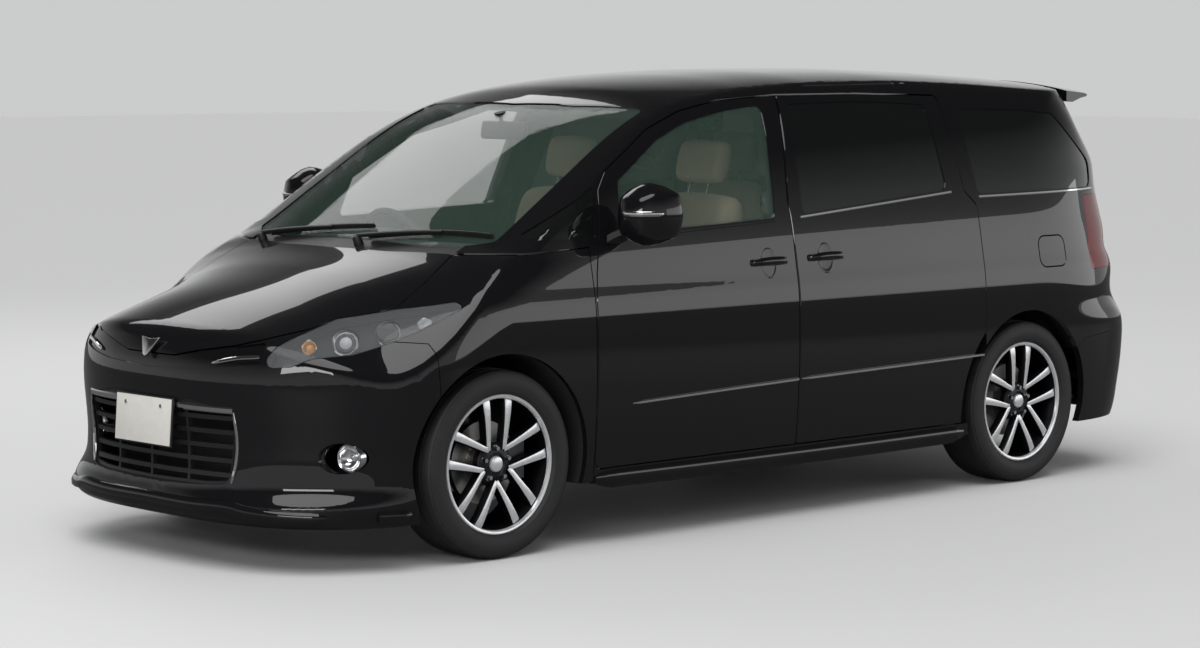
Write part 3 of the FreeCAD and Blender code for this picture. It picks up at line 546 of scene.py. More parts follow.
def makeWheel(name, side, axleY):
    bm = bmesh.new()
    for i in range(5):
        for sign in (-1, 1):
            part = bmesh.new()
            spoke(part, sign * rim["pairOffset"], sign * rim["pairAtRim"])
            bmesh.ops.rotate(part, cent=(0, 0, 0), matrix=Matrix.Rotation(math.tau * i / 5, 3, "X"),
                             verts=part.verts)
            addShape(bm, part)
    lip, half, barrel = rim["lip"], rim["half"], rim["barrel"]
    spun(bm, [(half - 0.010, lip - 0.0155), (half - 0.002, lip - 0.0125), (half, lip - 0.008),
              (half, lip - 0.002), (half - 0.003, lip), (half - 0.010, lip), (half - 0.014, lip - 0.006),
              (half - 0.016, lip - 0.013)], rim["steps"], material=0)
    spun(bm, [(half - 0.012, lip - 0.004), (half - 0.030, lip - 0.010), (half - 0.05, barrel + 0.006),
              (-half + 0.03, barrel + 0.006), (-half + 0.01, lip - 0.008), (-half, lip), (-half, lip - 0.008),
              (-half + 0.012, lip - 0.018), (-half + 0.032, barrel), (half - 0.052, barrel),
              (half - 0.030, barrel + 0.006), (half - 0.012, lip - 0.016)], rim["steps"], material=1)
    face = rim["face"]
    spun(bm, [(face - 0.052, rim["bore"]), (face - 0.020, rim["bore"]), (face - 0.020, 0.034),
              (face - 0.014, 0.040), (face - 0.014, 0.047), (face - 0.020, 0.070), (face - 0.028, 0.079),
              (face - 0.052, 0.079)], 64, material=1)
    for i in range(5):
        angle = math.tau * i / 5
        centre = Vector((0, -math.sin(angle) * rim["nutCircle"], math.cos(angle) * rim["nutCircle"]))
        turn = Matrix.Rotation(math.pi / 2, 4, "Y")
        for radius, sides, low, high in ((0.0135, 24, -0.026, -0.019), (0.0092, 6, -0.021, -0.004)):
            placed = Matrix.Translation(centre + Vector((face + (low + high) / 2, 0, 0))) @ turn
            nut = bmesh.ops.create_cone(bm, cap_ends=True, segments=sides, radius1=radius,
                                        radius2=radius * 0.9, depth=high - low, matrix=placed)
            for nutFace in {f for v in nut["verts"] for f in v.link_faces}:
                nutFace.material_index = 2
    spun(bm, [(face - 0.030, 0.0), (face - 0.006, 0.0), (face - 0.0065, 0.018), (face - 0.009, 0.026),
              (face - 0.0135, 0.0285), (face - 0.030, 0.0285)], 48, closed=False, material=3)
    discIn = brake["inner"]
    spun(bm, [(discIn, 0.078), (discIn, brake["radius"]), (discIn + 0.010, brake["radius"]),
              (discIn + 0.010, brake["radius"] - 0.006), (discIn + 0.016, brake["radius"] - 0.006),
              (discIn + 0.016, brake["radius"]), (discIn + 0.026, brake["radius"]), (discIn + 0.026, 0.086),
              (face - 0.056, 0.080), (face - 0.054, 0.074), (face - 0.054, 0.047), (discIn, 0.047)],
         80, material=4)
    placeWheel(bm, side, axleY)
    finishPiece("wheel" + name, bm, "road_wheel_" + name, [machined, alloyDark, chrome, machined, discSteel],
                "alloy", ("wheel_" + name,), sharp=30)


for spot, (side, axleY) in wheelSpots.items():
    makeTyre(spot, side, axleY)
    makeWheel(spot, side, axleY)
print("stage: wheels made")


# Trim and fittings
def sweep(bm, path, section, material=0):
    # Draws a closed section along frames of (place, outward, upward, size).
    squared = []
    for place, out, up, size in path:
        out = Vector(out).normalized()
        up = Vector(up)
        squared.append((place, out, (up - out * up.dot(out)).normalized(), size))
    place, out, up, size = squared[0]
    face = bm.faces.new([bm.verts.new(place + out * a * size + up * b * size) for a, b in section])
    before = set(bm.faces) - {face}
    for nextPlace, nextOut, nextUp, nextSize in squared[1:]:
        grown = bmesh.ops.extrude_face_region(bm, geom=[face])["geom"]
        face = next(g for g in grown if isinstance(g, bmesh.types.BMFace))
        for v in face.verts:
            gap = v.co - place
            share = nextSize / size
            v.co = nextPlace + nextOut * gap.dot(out) * share + nextUp * gap.dot(up) * share
        place, out, up, size = nextPlace, nextOut, nextUp, nextSize
    for made in set(bm.faces) - before:
        made.material_index = material


def between(points, count):
    # Smooth line through points of any length, as tuples.
    data = np.array(points, float)
    ahead = np.concatenate([[2 * data[0] - data[1]], data, [2 * data[-1] - data[-2]]])
    spots = []
    for k in range(count):
        t = k / (count - 1) * (len(data) - 1)
        i = min(int(t), len(data) - 2)
        s = t - i
        a, b, c, d = ahead[i:i + 4]
        spots.append(0.5 * (2 * b + (c - a) * s + (2 * a - 5 * b + 4 * c - d) * s * s
                            + (3 * b - a - 3 * c + d) * s ** 3))
    return spots


def skinPath(kind, points, count, lift=0.0, taper=(1.0, 1.0)):
    # Frames along a line on the skin: side points are (y, z), nose and tail (x, z), top (x, y).
    places = []
    for a, b in between(points, count):
        if kind == "side":
            places.append(Vector((skinX(a, b), a, b)))
        elif kind == "top":
            places.append(Vector((a, b, skinZ(a, b))))
        else:
            places.append(Vector((a, skinY(a, b, kind == "nose"), b)))
    frames = []
    for i, place in enumerate(places):
        along = (places[min(i + 1, count - 1)] - places[max(i - 1, 0)]).normalized()
        out = skinNormal(place)
        out = (out - along * out.dot(along)).normalized()
        t = i / (count - 1)
        ends = min(1.0, taper[0] + t * count / 3, taper[1] + (1 - t) * count / 3)
        frames.append((place + out * lift, out, along.cross(out) * -1, ends))
    return frames


def strip(wide, thick, low=-0.002):
    # Domed cross section of a trim strip.
    half = wide / 2
    return [(low, -half), (thick * 0.55, -half), (thick, -half * 0.55), (thick, half * 0.55),
            (thick * 0.55, half), (low, half)]


def bothSides(bm):
    # Adds the mirrored copy.
    copied = bmesh.ops.duplicate(bm, geom=list(bm.verts) + list(bm.edges) + list(bm.faces))["geom"]
    bmesh.ops.scale(bm, vec=(-1, 1, 1), verts=[g for g in copied if isinstance(g, bmesh.types.BMVert)])
    bmesh.ops.reverse_faces(bm, faces=[g for g in copied if isinstance(g, bmesh.types.BMFace)])


def softBox(size, centre, corner=0.01, segments=3):
    # Box with rounded edges.
    bm = bmesh.new()
    bmesh.ops.create_cube(bm, size=1.0)
    bmesh.ops.scale(bm, vec=size, verts=bm.verts)
    rounded(bm, list(bm.edges), corner, segments)
    moved(bm, centre)
    return bm


def aimed(direction, place):
    # Matrix that turns +Z to a direction and moves it to a place.
    return Matrix.Translation(place) @ Vector(direction).to_track_quat("Z", "Y").to_matrix().to_4x4()


def lathe(profile, steps, direction=(0, 0, 1), place=(0, 0, 0)):
    # Round piece from (radius, height) points, closed where the radius is nought.
    bm = bmesh.new()
    verts = [bm.verts.new((r, 0, h)) for r, h in profile]
    edges = [bm.edges.new(p) for p in zip(verts, verts[1:])]
    bmesh.ops.spin(bm, geom=verts + edges, axis=(0, 0, 1), cent=(0, 0, 0), dvec=(0, 0, 0), angle=math.tau,
                   steps=steps, use_merge=True)
    bmesh.ops.remove_doubles(bm, verts=bm.verts, dist=0.00001)
    transformed(bm, aimed(direction, place))
    return bm


rearward, upward = Vector((0, 1, 0)), Vector((0, 0, 1))


def onDoors(name, path, section, look, slotName):
    # A strip on each front door.
    for side in ("Left", "Right"):
        bm = bmesh.new()
        sweep(bm, skinPath("side", *path), section)
        if side == "Right":
            flipX(bm)
        finishPiece(name + side, bm, "front_door_" + side.lower(), [look], slotName)


# Number plate and bars of the lower grille
plate = {"wide": 0.330, "high": 0.165, "thick": 0.004, "centre": (0.0, 0.502), "lift": 0.022, "lean": 4.0}


def makePlate():
    x, z = plate["centre"]
    y = skinY(x, z) - plate["lift"]
    bm = softBox((plate["wide"], plate["thick"], plate["high"]), (0, 0, 0), 0.0015, segments=2)
    addShape(bm, softBox((plate["wide"] + 0.012, 0.010, plate["high"] + 0.012), (0, 0.006, 0), 0.003), 1)
    for side in (-1, 1):
        bolt = lathe([(0, -0.0045), (0.006, -0.0045), (0.007, -0.003), (0.007, 0.001), (0, 0.001)], 20,
                     (0, -1, 0), (side * 0.105, -0.001, 0.055))
        moved(bolt, (0, -0.0035, 0))
        addShape(bm, bolt, 2)
    addShape(bm, softBox((0.20, 0.030, 0.09), (0, 0.020, 0), 0.004), 1)
    moved(bm, (x, y, z), -plate["lean"])
    finishPiece("numberPlate", bm, "body", [plateEnamel, blackTrim, chrome])


makePlate()
noseTrim = {"barHeight": 0.022, "barLine": [(-0.428, 0.562), (0.0, 0.566), (0.428, 0.562)],
            "edgeLine": [(0.430, 0.556), (0.436, 0.470), (0.430, 0.380), (0.414, 0.300)],
            "slotBar": [(0.335, 0.724), (0.430, 0.744), (0.512, 0.752)]}


def makeNoseTrim():
    bm = bmesh.new()
    sweep(bm, skinPath("nose", noseTrim["barLine"], 41, -0.004), strip(noseTrim["barHeight"], 0.008, -0.006))
    for side in (-1, 1):
        for key, count, taper, wide in (("edgeLine", 15, (0.4, 0.4), 0.012),
                                        ("slotBar", 13, (0.5, 0.8), 0.014)):
            line = [(side * x, z) for x, z in noseTrim[key]]
            sweep(bm, skinPath("nose", line, count, 0.0, taper), strip(wide, 0.005))
    finishPiece("noseTrim", bm, "body", [chrome], "chrome")


makeNoseTrim()
badge = {"half": 0.052, "thick": 0.010, "height": 0.762, "lean": 24}


def makeBadge():
    # Plain bright wedge on the nose, with nothing on it.
    bm = bmesh.new()
    y = skinY(0, 0.75) - 0.004
    corners = [(-badge["half"], 0.03), (0, 0.024), (badge["half"], 0.03), (0.012, -0.036), (0, -0.042),
               (-0.012, -0.036)]
    face = bm.faces.new([bm.verts.new((x, 0, z)) for x, z in corners])
    bmesh.ops.inset_region(bm, faces=[face], thickness=0.006, depth=0.0)
    grown = bmesh.ops.extrude_face_region(bm, geom=list(bm.faces))["geom"]
    bmesh.ops.translate(bm, vec=(0, -badge["thick"], 0),
                        verts=[g for g in grown if isinstance(g, bmesh.types.BMVert)])
    bmesh.ops.recalc_face_normals(bm, faces=bm.faces)
    rounded(bm, [e for e in bm.edges if len(e.link_faces) == 2 and e.calc_face_angle(0) > 0.5], 0.002, 3)
    moved(bm, (0, y, badge["height"]), -badge["lean"])
    finishPiece("plainBadge", bm, "body", [chrome], "chrome")


makeBadge()

# Lip under the bumper and skirts along the sills
lipLine = [(0.0, 0.232), (0.25, 0.230), (0.42, 0.236), (0.50, 0.222), (0.62, 0.212), (0.74, 0.206)]


def makeLip():
    bm = bmesh.new()
    section = [(-0.020, -0.020), (0.006, -0.024), (0.014, -0.016), (0.013, 0.002), (0.004, 0.016),
               (-0.020, 0.020)]
    line = [(-x, z) for x, z in reversed(lipLine)] + lipLine[1:]
    sweep(bm, skinPath("nose", line, 81, 0.0, (0.5, 0.5)), section)
    for side in (1, -1):
        part = bmesh.new()
        sweep(part, skinPath("side", [(-2.02, 0.206), (-1.96, 0.204), (-1.895, 0.200)], 12, 0.0, (1.0, 0.4)),
              section)
        if side < 0:
            flipX(part)
        addShape(bm, part)
    finishPiece("bumperLip", bm, "body", [paint], "paint", sharp=50)
    bm = bmesh.new()
    skirt = [(-0.018, -0.036), (0.006, -0.040), (0.016, -0.028), (0.017, 0.006), (0.008, 0.026),
             (-0.006, 0.032)]
    line = [(-1.045, 0.250), (-0.4, 0.246), (0.4, 0.244), (1.045, 0.246)]
    sweep(bm, skinPath("side", line, 40, 0.0, (0.5, 0.6)), skirt)
    bothSides(bm)
    finishPiece("sideSkirts", bm, "body", [paint], "paint", sharp=50)


makeLip()

# Bright strips and handles on the sides
doorTrim = {"height": 0.013, "thick": 0.007,
            "front": [(-0.870, 0.516), (-0.40, 0.530), (0.024, 0.541)],
            "rear": [(0.046, 0.5415), (0.60, 0.552), (1.150, 0.562)]}


def makeDoorTrim():
    section = strip(doorTrim["height"], doorTrim["thick"])
    onDoors("doorTrimFront", (doorTrim["front"], 40, 0.0, (0.35, 1.0)), section, chrome, "chrome")
    bm = bmesh.new()
    sweep(bm, skinPath("side", doorTrim["rear"], 40, 0.0, (0.35, 1.0)), section)
    bothSides(bm)
    finishPiece("doorTrimRear", bm, "body", [chrome], "chrome")


makeDoorTrim()
handle = {"length": 0.205, "height": 0.030, "stand": 0.036, "steps": 21,
          "spots": {"front": (-0.120, 1.000), "rear": (0.205, 1.006)}}


def makeHandle(y, z):
    bm = bmesh.new()
    half = handle["length"] / 2
    frames = []
    for i in range(handle["steps"]):
        t = i / (handle["steps"] - 1) * 2 - 1
        place = Vector((skinX(y + t * half, z), y + t * half, z + 0.004 * (1 - t * t)))
        out = skinNormal(place)
        rise = handle["stand"] * (1 - abs(t) ** 5) - 0.008
        frames.append((place + out * rise, out, upward, 1.0 - 0.25 * abs(t) ** 3))
    high = handle["height"] / 2
    sweep(bm, frames, [(-0.007, -high), (0.003, -high), (0.008, -high * 0.5), (0.009, high * 0.3),
                       (0.004, high), (-0.007, high)])
    place = Vector((skinX(y, z), y, z - 0.003))
    out = skinNormal(place)
    # Painted shade: a thin gloss black disc laid on the skin behind the handle stands in for the shaded
    # recess; the panel itself has no hollow here.
    recessShadeDisc = lathe([(0.0, 0.0012), (0.030, 0.0012), (0.038, 0.0018), (0.041, 0.0026), (0.044, 0.0020),
                  (0.046, -0.001)], 48)
    bmesh.ops.scale(recessShadeDisc, vec=(1.35, 1.0, 1.0), verts=recessShadeDisc.verts)
    transformed(recessShadeDisc, aimed(out, place) @ Matrix.Rotation(math.pi / 2, 4, "Z"))
    addShape(bm, recessShadeDisc, 1)
    return bm


def makeHandles():
    for place, riding in (("front", ("front_door_left", "front_door_right")), ("rear", ("body", "body"))):
        for side, body in zip(("Left", "Right"), riding):
            bm = makeHandle(*handle["spots"][place])
            if side == "Right":
                flipX(bm)
            finishPiece(place + "DoorHandle" + side, bm, body, [paint, glossTrim], "paint", sharp=40)


makeHandles()
beltTrim = {"rear": [(0.09, 1.166), (0.60, 1.204), (1.02, 1.236)],
            "quarter": [(1.19, 1.212), (1.6, 1.216), (2.03, 1.221)],
            "front": [(-0.885, 1.122), (-0.45, 1.142), (-0.06, 1.157)]}


def makeBeltTrim():
    bm = bmesh.new()
    for key in ("rear", "quarter"):
        sweep(bm, skinPath("side", beltTrim[key], 24, 0.0), strip(0.011, 0.004))
    bothSides(bm)
    finishPiece("beltTrim", bm, "body", [chrome], "chrome")
    onDoors("beltTrim", (beltTrim["front"], 24), strip(0.013, 0.005), glossTrim, "black_trim")


makeBeltTrim()

# Door mirrors
mirror = {"centre": (0.995, -0.880, 1.216), "size": (0.150, 0.205, 0.190), "footAt": (0.875, -0.930, 1.128)}


def makeMirror(side):
    bm = bmesh.new()
    bmesh.ops.create_cube(bm, size=2.0)
    bmesh.ops.subdivide_edges(bm, edges=list(bm.edges), cuts=7, use_grid_fill=True)
    w, d, h = (v / 2 for v in mirror["size"])
    for v in bm.verts:
        x, y, z = v.co.normalized() * 0.62 * 1.25 + v.co * 0.38
        nose = max(0.0, -y)
        x = x * (1 - 0.25 * nose ** 2) + 0.22 * max(0.0, y) - 0.1 * nose
        z = z * (1 - 0.30 * nose ** 2) * (1 - 0.12 * max(0.0, x)) - 0.05 * nose
        y = min(y, 0.78)
        v.co = Vector((x * w * 1.1, y * d, z * h * 1.05))
    pane = [f for f in bm.faces if f.calc_center_median().y > 0.7 * d]
    ring = bmesh.ops.inset_region(bm, faces=pane, thickness=0.010, depth=-0.008)["faces"]
    for f in pane:
        f.material_index = 1
    for f in ring:
        f.material_index = 2
    bmesh.ops.translate(bm, vec=mirror["centre"], verts=bm.verts)
    foot = bmesh.new()
    root, tip = Vector(mirror["footAt"]), Vector(mirror["centre"]) + Vector((-0.030, 0.0, -0.062))
    frames = []
    for i in range(9):
        t = i / 8
        place = root.lerp(tip, t) + Vector((0, 0, 0.012 * math.sin(t * math.pi)))
        frames.append((place, rearward, upward, 1.25 - 0.35 * t))
    sweep(foot, frames, [(-0.038, -0.012), (-0.022, -0.017), (0.022, -0.017), (0.038, -0.012),
                         (0.038, 0.008), (0.022, 0.016), (-0.022, 0.016), (-0.038, 0.008)], 2)
    addShape(bm, foot)
    lampStrip = bmesh.new()
    tree = BVHTree.FromBMesh(bm)
    middle = Vector(mirror["centre"]) + Vector((0, 0, 0.006))
    frames = []
    for i in range(17):
        t = i / 16
        angle = math.radians(-105 + 95 * t)
        out = Vector((math.cos(angle), math.sin(angle), 0))
        spot = tree.ray_cast(middle + out * 0.4, -out)[0]
        frames.append((spot, out, upward, min(1.0, 0.3 + 4 * t, 0.4 + 5 * (1 - t))))
    sweep(lampStrip, frames, [(-0.004, -0.009), (0.002, -0.009), (0.004, -0.004), (0.004, 0.005),
                              (0.001, 0.009), (-0.004, 0.009)], 3)
    addShape(bm, lampStrip)
    if side == "right":
        flipX(bm)
    finishPiece("doorMirror" + side.capitalize(), bm, "front_door_" + side,
                [paint, lampMirror, blackTrim, chrome], "paint", ("door_mirror_" + side,), sharp=50)


makeMirror("left")
makeMirror("right")

# Roof spoiler and rear fittings
spoiler = {"start": 2.068, "reach": 0.180, "half": 0.600, "steps": 41}


def makeSpoiler():
    bm = bmesh.new()
    frames = []
    for i in range(spoiler["steps"]):
        x = spoiler["half"] * (i / (spoiler["steps"] - 1) * 2 - 1)
        edge = abs(x / spoiler["half"])
        place = Vector((x, spoiler["start"], skinZ(x, spoiler["start"]) + 0.002))
        frames.append((place, rearward, upward, 1.0 - 0.20 * edge ** 6))
    r = spoiler["reach"]
    sweep(bm, frames, [(0, 0), (r * 0.5, -0.008), (r * 0.85, -0.013), (r, -0.020), (r * 1.01, -0.026),
                       (r * 0.97, -0.032), (r * 0.7, -0.040), (r * 0.3, -0.062), (0, -0.060)])
    finishPiece("roofSpoiler", bm, "tailgate", [paint], "paint", sharp=42)
    bm = bmesh.new()
    y, z = spoiler["start"] + r * 0.985, skinZ(0, spoiler["start"]) - 0.024
    lampBar = [(Vector((x, y, z)), rearward, upward, 1.0) for x in (-0.14, 0.14)]
    sweep(bm, lampBar, [(-0.004, -0.007), (0.005, -0.007), (0.006, 0.005), (-0.004, 0.006)])
    finishPiece("highStopLamp", bm, "tailgate", [redLens], "red_lens")


makeSpoiler()


def makeRearFittings():
    z = 0.885
    y = skinY(0, z, False)
    bm = bmesh.new()
    addShape(bm, softBox((0.40, 0.016, 0.20), (0, y - 0.002, z - 0.02), 0.006), 1)
    addShape(bm, softBox((plate["wide"], 0.006, plate["high"]), (0, y + 0.010, z - 0.02), 0.002), 0)
    finishPiece("rearPlate", bm, "tailgate", [plateEnamel, blackTrim])
    bm = bmesh.new()
    line = [(-0.36, 1.018), (0.0, 1.026), (0.36, 1.018)]
    sweep(bm, skinPath("tail", line, 31), strip(0.030, 0.012))
    finishPiece("rearGarnish", bm, "tailgate", [chrome], "chrome")
    bm = bmesh.new()
    pivot = Vector((0.10, skinY(0.10, 1.175, False) + 0.004, 1.175))
    addShape(bm, lathe([(0, 0.034), (0.016, 0.032), (0.022, 0.024), (0.024, -0.01), (0, -0.01)], 32,
                       (0, 1, 0.25), pivot))
    arm, blade = [], []
    for i in range(9):
        x = 0.10 - 0.36 * i / 8
        z = 1.180 + 0.022 * i / 8
        arm.append((Vector((x, skinY(x, z + 0.02, False) + 0.026 - 0.010 * i / 8, z)), rearward, upward,
                    1.0 - 0.04 * i))
    sweep(bm, arm, strip(0.018, 0.006, -0.004))
    for i in range(15):
        x = 0.02 - 0.40 * i / 14
        z = 1.200 + 0.010 * i / 14
        blade.append((Vector((x, skinY(x, z, False) + 0.008, z)), rearward, upward, 1.0))
    sweep(bm, blade, strip(0.012, 0.006, -0.006))
    finishPiece("rearWiper", bm, "tailgate", [blackTrim], "black_trim")
    bm = bmesh.new()
    for side in (1, -1):
        line = [(side * x, z) for x, z in ((0.50, 0.470), (0.62, 0.474), (0.72, 0.480))]
        sweep(bm, skinPath("tail", line, 11), strip(0.034, 0.005))
    finishPiece("rearReflectors", bm, "body", [redLens], "red_lens")
    bm = bmesh.new()
    sweep(bm, skinPath("tail", [(-0.66, 0.300), (0.0, 0.296), (0.66, 0.300)], 41), strip(0.075, 0.004))
    finishPiece("rearDiffuser", bm, "body", [blackTrim], "black_trim")


makeRearFittings()

# Wipers
wiper = {"pivots": ((0.10, -1.515), (-0.50, -1.500)), "tips": ((0.60, -1.385), (0.02, -1.452)),
         "out": Vector((0, -0.45, 0.89)), "along": Vector((0, 0.89, 0.45))}


def makeWipers():
    bm = bmesh.new()
    for (px, py), (tx, ty) in zip(wiper["pivots"], wiper["tips"]):
        hub = Vector((px, py, skinZ(px, py) + 0.004))
        addShape(bm, lathe([(0, 0.026), (0.012, 0.024), (0.017, 0.016), (0.019, -0.02), (0, -0.02)], 28,
                           (0, -0.4, 1), hub))
        arm, blade = [], []
        for i in range(15):
            t = i / 14
            x, y = px + (tx - px) * t, py + (ty - py) * t
            arm.append((Vector((x, y + 0.02 * t, skinZ(x, y) + 0.026 - 0.006 * t)), wiper["out"],
                        wiper["along"], 1.0 - 0.35 * t))
        for i in range(25):
            t = i / 24 * 1.12 - 0.06
            x = px + (tx - px) * (0.12 + 0.95 * t)
            y = py + (ty - py) * (0.12 + 0.95 * t) + 0.022
            blade.append((Vector((x, y, skinZ(x, y) + 0.006)), wiper["out"], wiper["along"], 1.0))
        sweep(bm, arm[:11], strip(0.020, 0.008, -0.004))
        sweep(bm, blade, strip(0.011, 0.012, -0.006))
    finishPiece("frontWipers", bm, "body", [blackTrim], "black_trim")


makeWipers()
print("stage: trim made")

# Headlamps: reflectors and projectors behind the clear lens
lampSpots = [((0.650, -2.020, 0.800), 0.046, "projector"), ((0.712, -1.880, 0.838), 0.044, "projector"),
             ((0.775, -1.765, 0.868), 0.026, "reflector"), ((0.592, -2.135, 0.765), 0.026, "amber")]


def makeLampInsides():
    bm = bmesh.new()
    facing = Vector((0.58, -0.74, 0.34)).normalized()
    for place, r, kind in lampSpots:
        spot = Vector(place)
        depth = float(skinNormals(np.array([spot]))[1][0]) / mm
        spot = spot - skinNormal(spot) * (depth + 0.018)
        addShape(bm, lathe([(r * 0.62, -0.020), (r * 0.80, -0.006), (r * 0.92, 0.001), (r, 0.003),
                            (r * 1.06, 0.001), (r * 1.08, -0.010), (r * 1.02, -0.028), (0, -0.034)],
                           48, facing, spot), 0)
        if kind == "reflector":
            core, steps = [(0, -0.008), (r * 0.2, -0.010), (r * 0.34, -0.016), (r * 0.6, -0.021),
                           (0, -0.024)], 32
        else:
            core, steps = [(0, 0.004), (r * 0.28, 0.001), (r * 0.46, -0.006), (r * 0.58, -0.016),
                           (r * 0.62, -0.022), (0, -0.026)], 40
        addShape(bm, lathe(core, steps, facing, spot), 2 if kind == "amber" else 1)
    bothSides(bm)
    finishPiece("lampInsides", bm, "body", [lampMirror, clearCore, amberLens], "lamp_housing")


makeLampInsides()
fog = {"x": 0.742, "z": 0.405, "radius": 0.044}


def makeFogLamps():
    bm = bmesh.new()
    x, z, r = fog["x"], fog["z"], fog["radius"]
    facing = Vector((0.25, -0.97, 0)).normalized()
    spot = Vector((x, skinY(x, z) + 0.050, z))
    addShape(bm, lathe([(0, -0.016), (r * 0.45, -0.012), (r * 0.8, 0.0), (r, 0.012), (r * 1.02, 0.020),
                        (r * 1.12, 0.022), (r * 1.20, 0.014), (r * 1.20, -0.020), (0, -0.030)],
                       56, facing, spot), 0)
    addShape(bm, lathe([(0, 0.020), (r * 0.5, 0.018), (r * 0.85, 0.012), (r * 0.99, 0.006)],
                       48, facing, spot), 1)
    addShape(bm, lathe([(0, 0.008), (r * 0.2, 0.004), (r * 0.28, -0.012), (0, -0.014)], 32, facing, spot), 2)
    bothSides(bm)
    finishPiece("fogLampInsides", bm, "body", [lampMirror, clearLens, chrome], "chrome", ("fog_lamps",))


makeFogLamps()
print("stage: lamps made")

# Seats, padded
seat = {"rows": {"frontSeats": ("front_seats", -0.420, (-0.385, 0.385), 0.520, 0.262),
                 "secondRowSeats": ("second_row_seats", 0.560, (-0.385, 0.385), 0.520, 0.262),
                 "thirdRowSeats": ("third_row_seats", 1.560, (-0.290, 0.290), 0.480, 0.426)},
        "lean": 16.0, "backHigh": 0.640, "backThick": 0.120, "cushionThick": 0.135}


def pad(wide, deep, high, crownUp, bolster, cuts=6):
    # Crowned pad whose sides rise into bolsters, standing on z = 0.
    bm = bmesh.new()
    bmesh.ops.create_cube(bm, size=2.0)
    bmesh.ops.subdivide_edges(bm, edges=list(bm.edges), cuts=cuts, use_grid_fill=True)
    for v in bm.verts:
        x, y, z = v.co
        pinch = 1 - 0.10 * abs(x * y) ** 2 * (0.6 + 0.4 * abs(z))
        drawnIn = 1 - 0.16 * abs(z) ** 3
        top = max(0.0, z)
        lift = top * (crownUp * (1 - x * x) * (1 - y * y) + bolster * abs(x) ** 3 - bolster * 0.5)
        seam = -0.008 * top * math.exp(-((abs(x) - 0.62) / 0.06) ** 2)
        v.co = Vector((x * wide / 2 * pinch * drawnIn, y * deep / 2 * pinch * drawnIn,
                       (z + 1) * high / 2 + lift + seam))
    return bm


def makeSeatRow(name):
    node, y, places, wide, floorZ = seat["rows"][name]
    bm = bmesh.new()
    tilt = Matrix.Rotation(math.radians(-seat["lean"]), 4, "X")
    upright = Matrix.Rotation(math.pi / 2, 4, "X")
    for x in places:
        addShape(bm, softBox((wide - 0.14, 0.40, 0.29), (x, y + 0.005, floorZ + 0.145), 0.02), 1)
        cushion = pad(wide - 0.01, 0.50, seat["cushionThick"], 0.012, 0.022)
        moved(cushion, (x, y - 0.025, 0.562))
        addShape(bm, cushion, 0)
        backFoot = Matrix.Translation((x, y + 0.190, 0.660)) @ tilt
        for part, place in ((pad(wide - 0.03, seat["backHigh"] - 0.02, seat["backThick"], 0.010, 0.030),
                             (0, 0.125, 0.320)),
                            (pad(0.250, 0.175, 0.085, 0.010, 0.006, 5), (0, 0.090, 0.752))):
            transformed(part, backFoot @ Matrix.Translation(place) @ upright)
            addShape(bm, part, 0)
        for side in (-0.05, 0.05):
            post = lathe([(0, -0.02), (0.006, -0.02), (0.006, 0.11), (0, 0.11)], 14)
            transformed(post, Matrix.Translation((x + side, y + 0.190, 0.660)) @ tilt
                        @ Matrix.Translation((0, 0.045, 0.600)))
            addShape(bm, post, 2)
    made = finishPiece(name, bm, "body", [seatCloth, dashPlastic, chrome], "seat_cloth", (node,), sharp=60)
    smooth = made.modifiers.new("rounding", "SUBSURF")
    smooth.levels = smooth.render_levels = 1


for rowName in seat["rows"]:
    makeSeatRow(rowName)

# Steering wheel and cabin fittings
steering = {"hub": (-0.385, -0.905, 1.010), "axis": (0, 0.9063, 0.4226), "up": (0, -0.4226, 0.9063),
            "ring": 0.182, "grip": 0.0155}


def makeSteeringWheel():
    bm = bmesh.new()
    ring = bmesh.new()
    circle = bmesh.ops.create_circle(ring, cap_ends=False, segments=20, radius=steering["grip"])["verts"]
    bmesh.ops.rotate(ring, cent=(0, 0, 0), matrix=Matrix.Rotation(math.pi / 2, 3, "X"), verts=circle)
    bmesh.ops.translate(ring, vec=(steering["ring"], 0, 0), verts=circle)
    bmesh.ops.spin(ring, geom=list(ring.verts) + list(ring.edges), axis=(0, 0, 1), cent=(0, 0, 0),
                   dvec=(0, 0, 0), angle=math.tau, steps=72, use_merge=True)
    addShape(bm, ring, 0)
    addShape(bm, softBox((0.135, 0.115, 0.050), (0, -0.006, -0.010), 0.022, segments=4), 0)
    addShape(bm, lathe([(0, 0.0), (0.046, 0.0), (0.048, -0.026), (0.046, -0.030), (0, -0.030)], 40), 0)
    for degrees, wide in ((0, 0.040), (180, 0.040), (270, 0.052)):
        part = bmesh.new()
        angle = math.radians(degrees)
        along = Vector((math.cos(angle), math.sin(angle), 0))
        across = Vector((-math.sin(angle), math.cos(angle), 0))
        frames = [(along * r, across, upward, 1.0 + 0.15 * math.cos((r - 0.05) / 0.13 * math.tau))
                  for r in (0.05, 0.07, 0.09, 0.11, 0.13, 0.15, 0.172)]
        sweep(part, frames, [(-wide / 2, -0.007), (-wide / 2, 0.004), (-wide / 4, 0.008), (wide / 4, 0.008),
                             (wide / 2, 0.004), (wide / 2, -0.007)])
        addShape(bm, part, 1 if degrees == 270 else 0)
    up, axis = Vector(steering["up"]), Vector(steering["axis"])
    turn = Matrix((up.cross(axis), up, axis)).transposed().to_4x4()
    transformed(bm, Matrix.Translation(steering["hub"]) @ turn)
    finishPiece("steeringWheel", bm, "steering_wheel", [dashPlastic, alloyDark], "dash_plastic",
                ("steering_wheel",))


makeSteeringWheel()


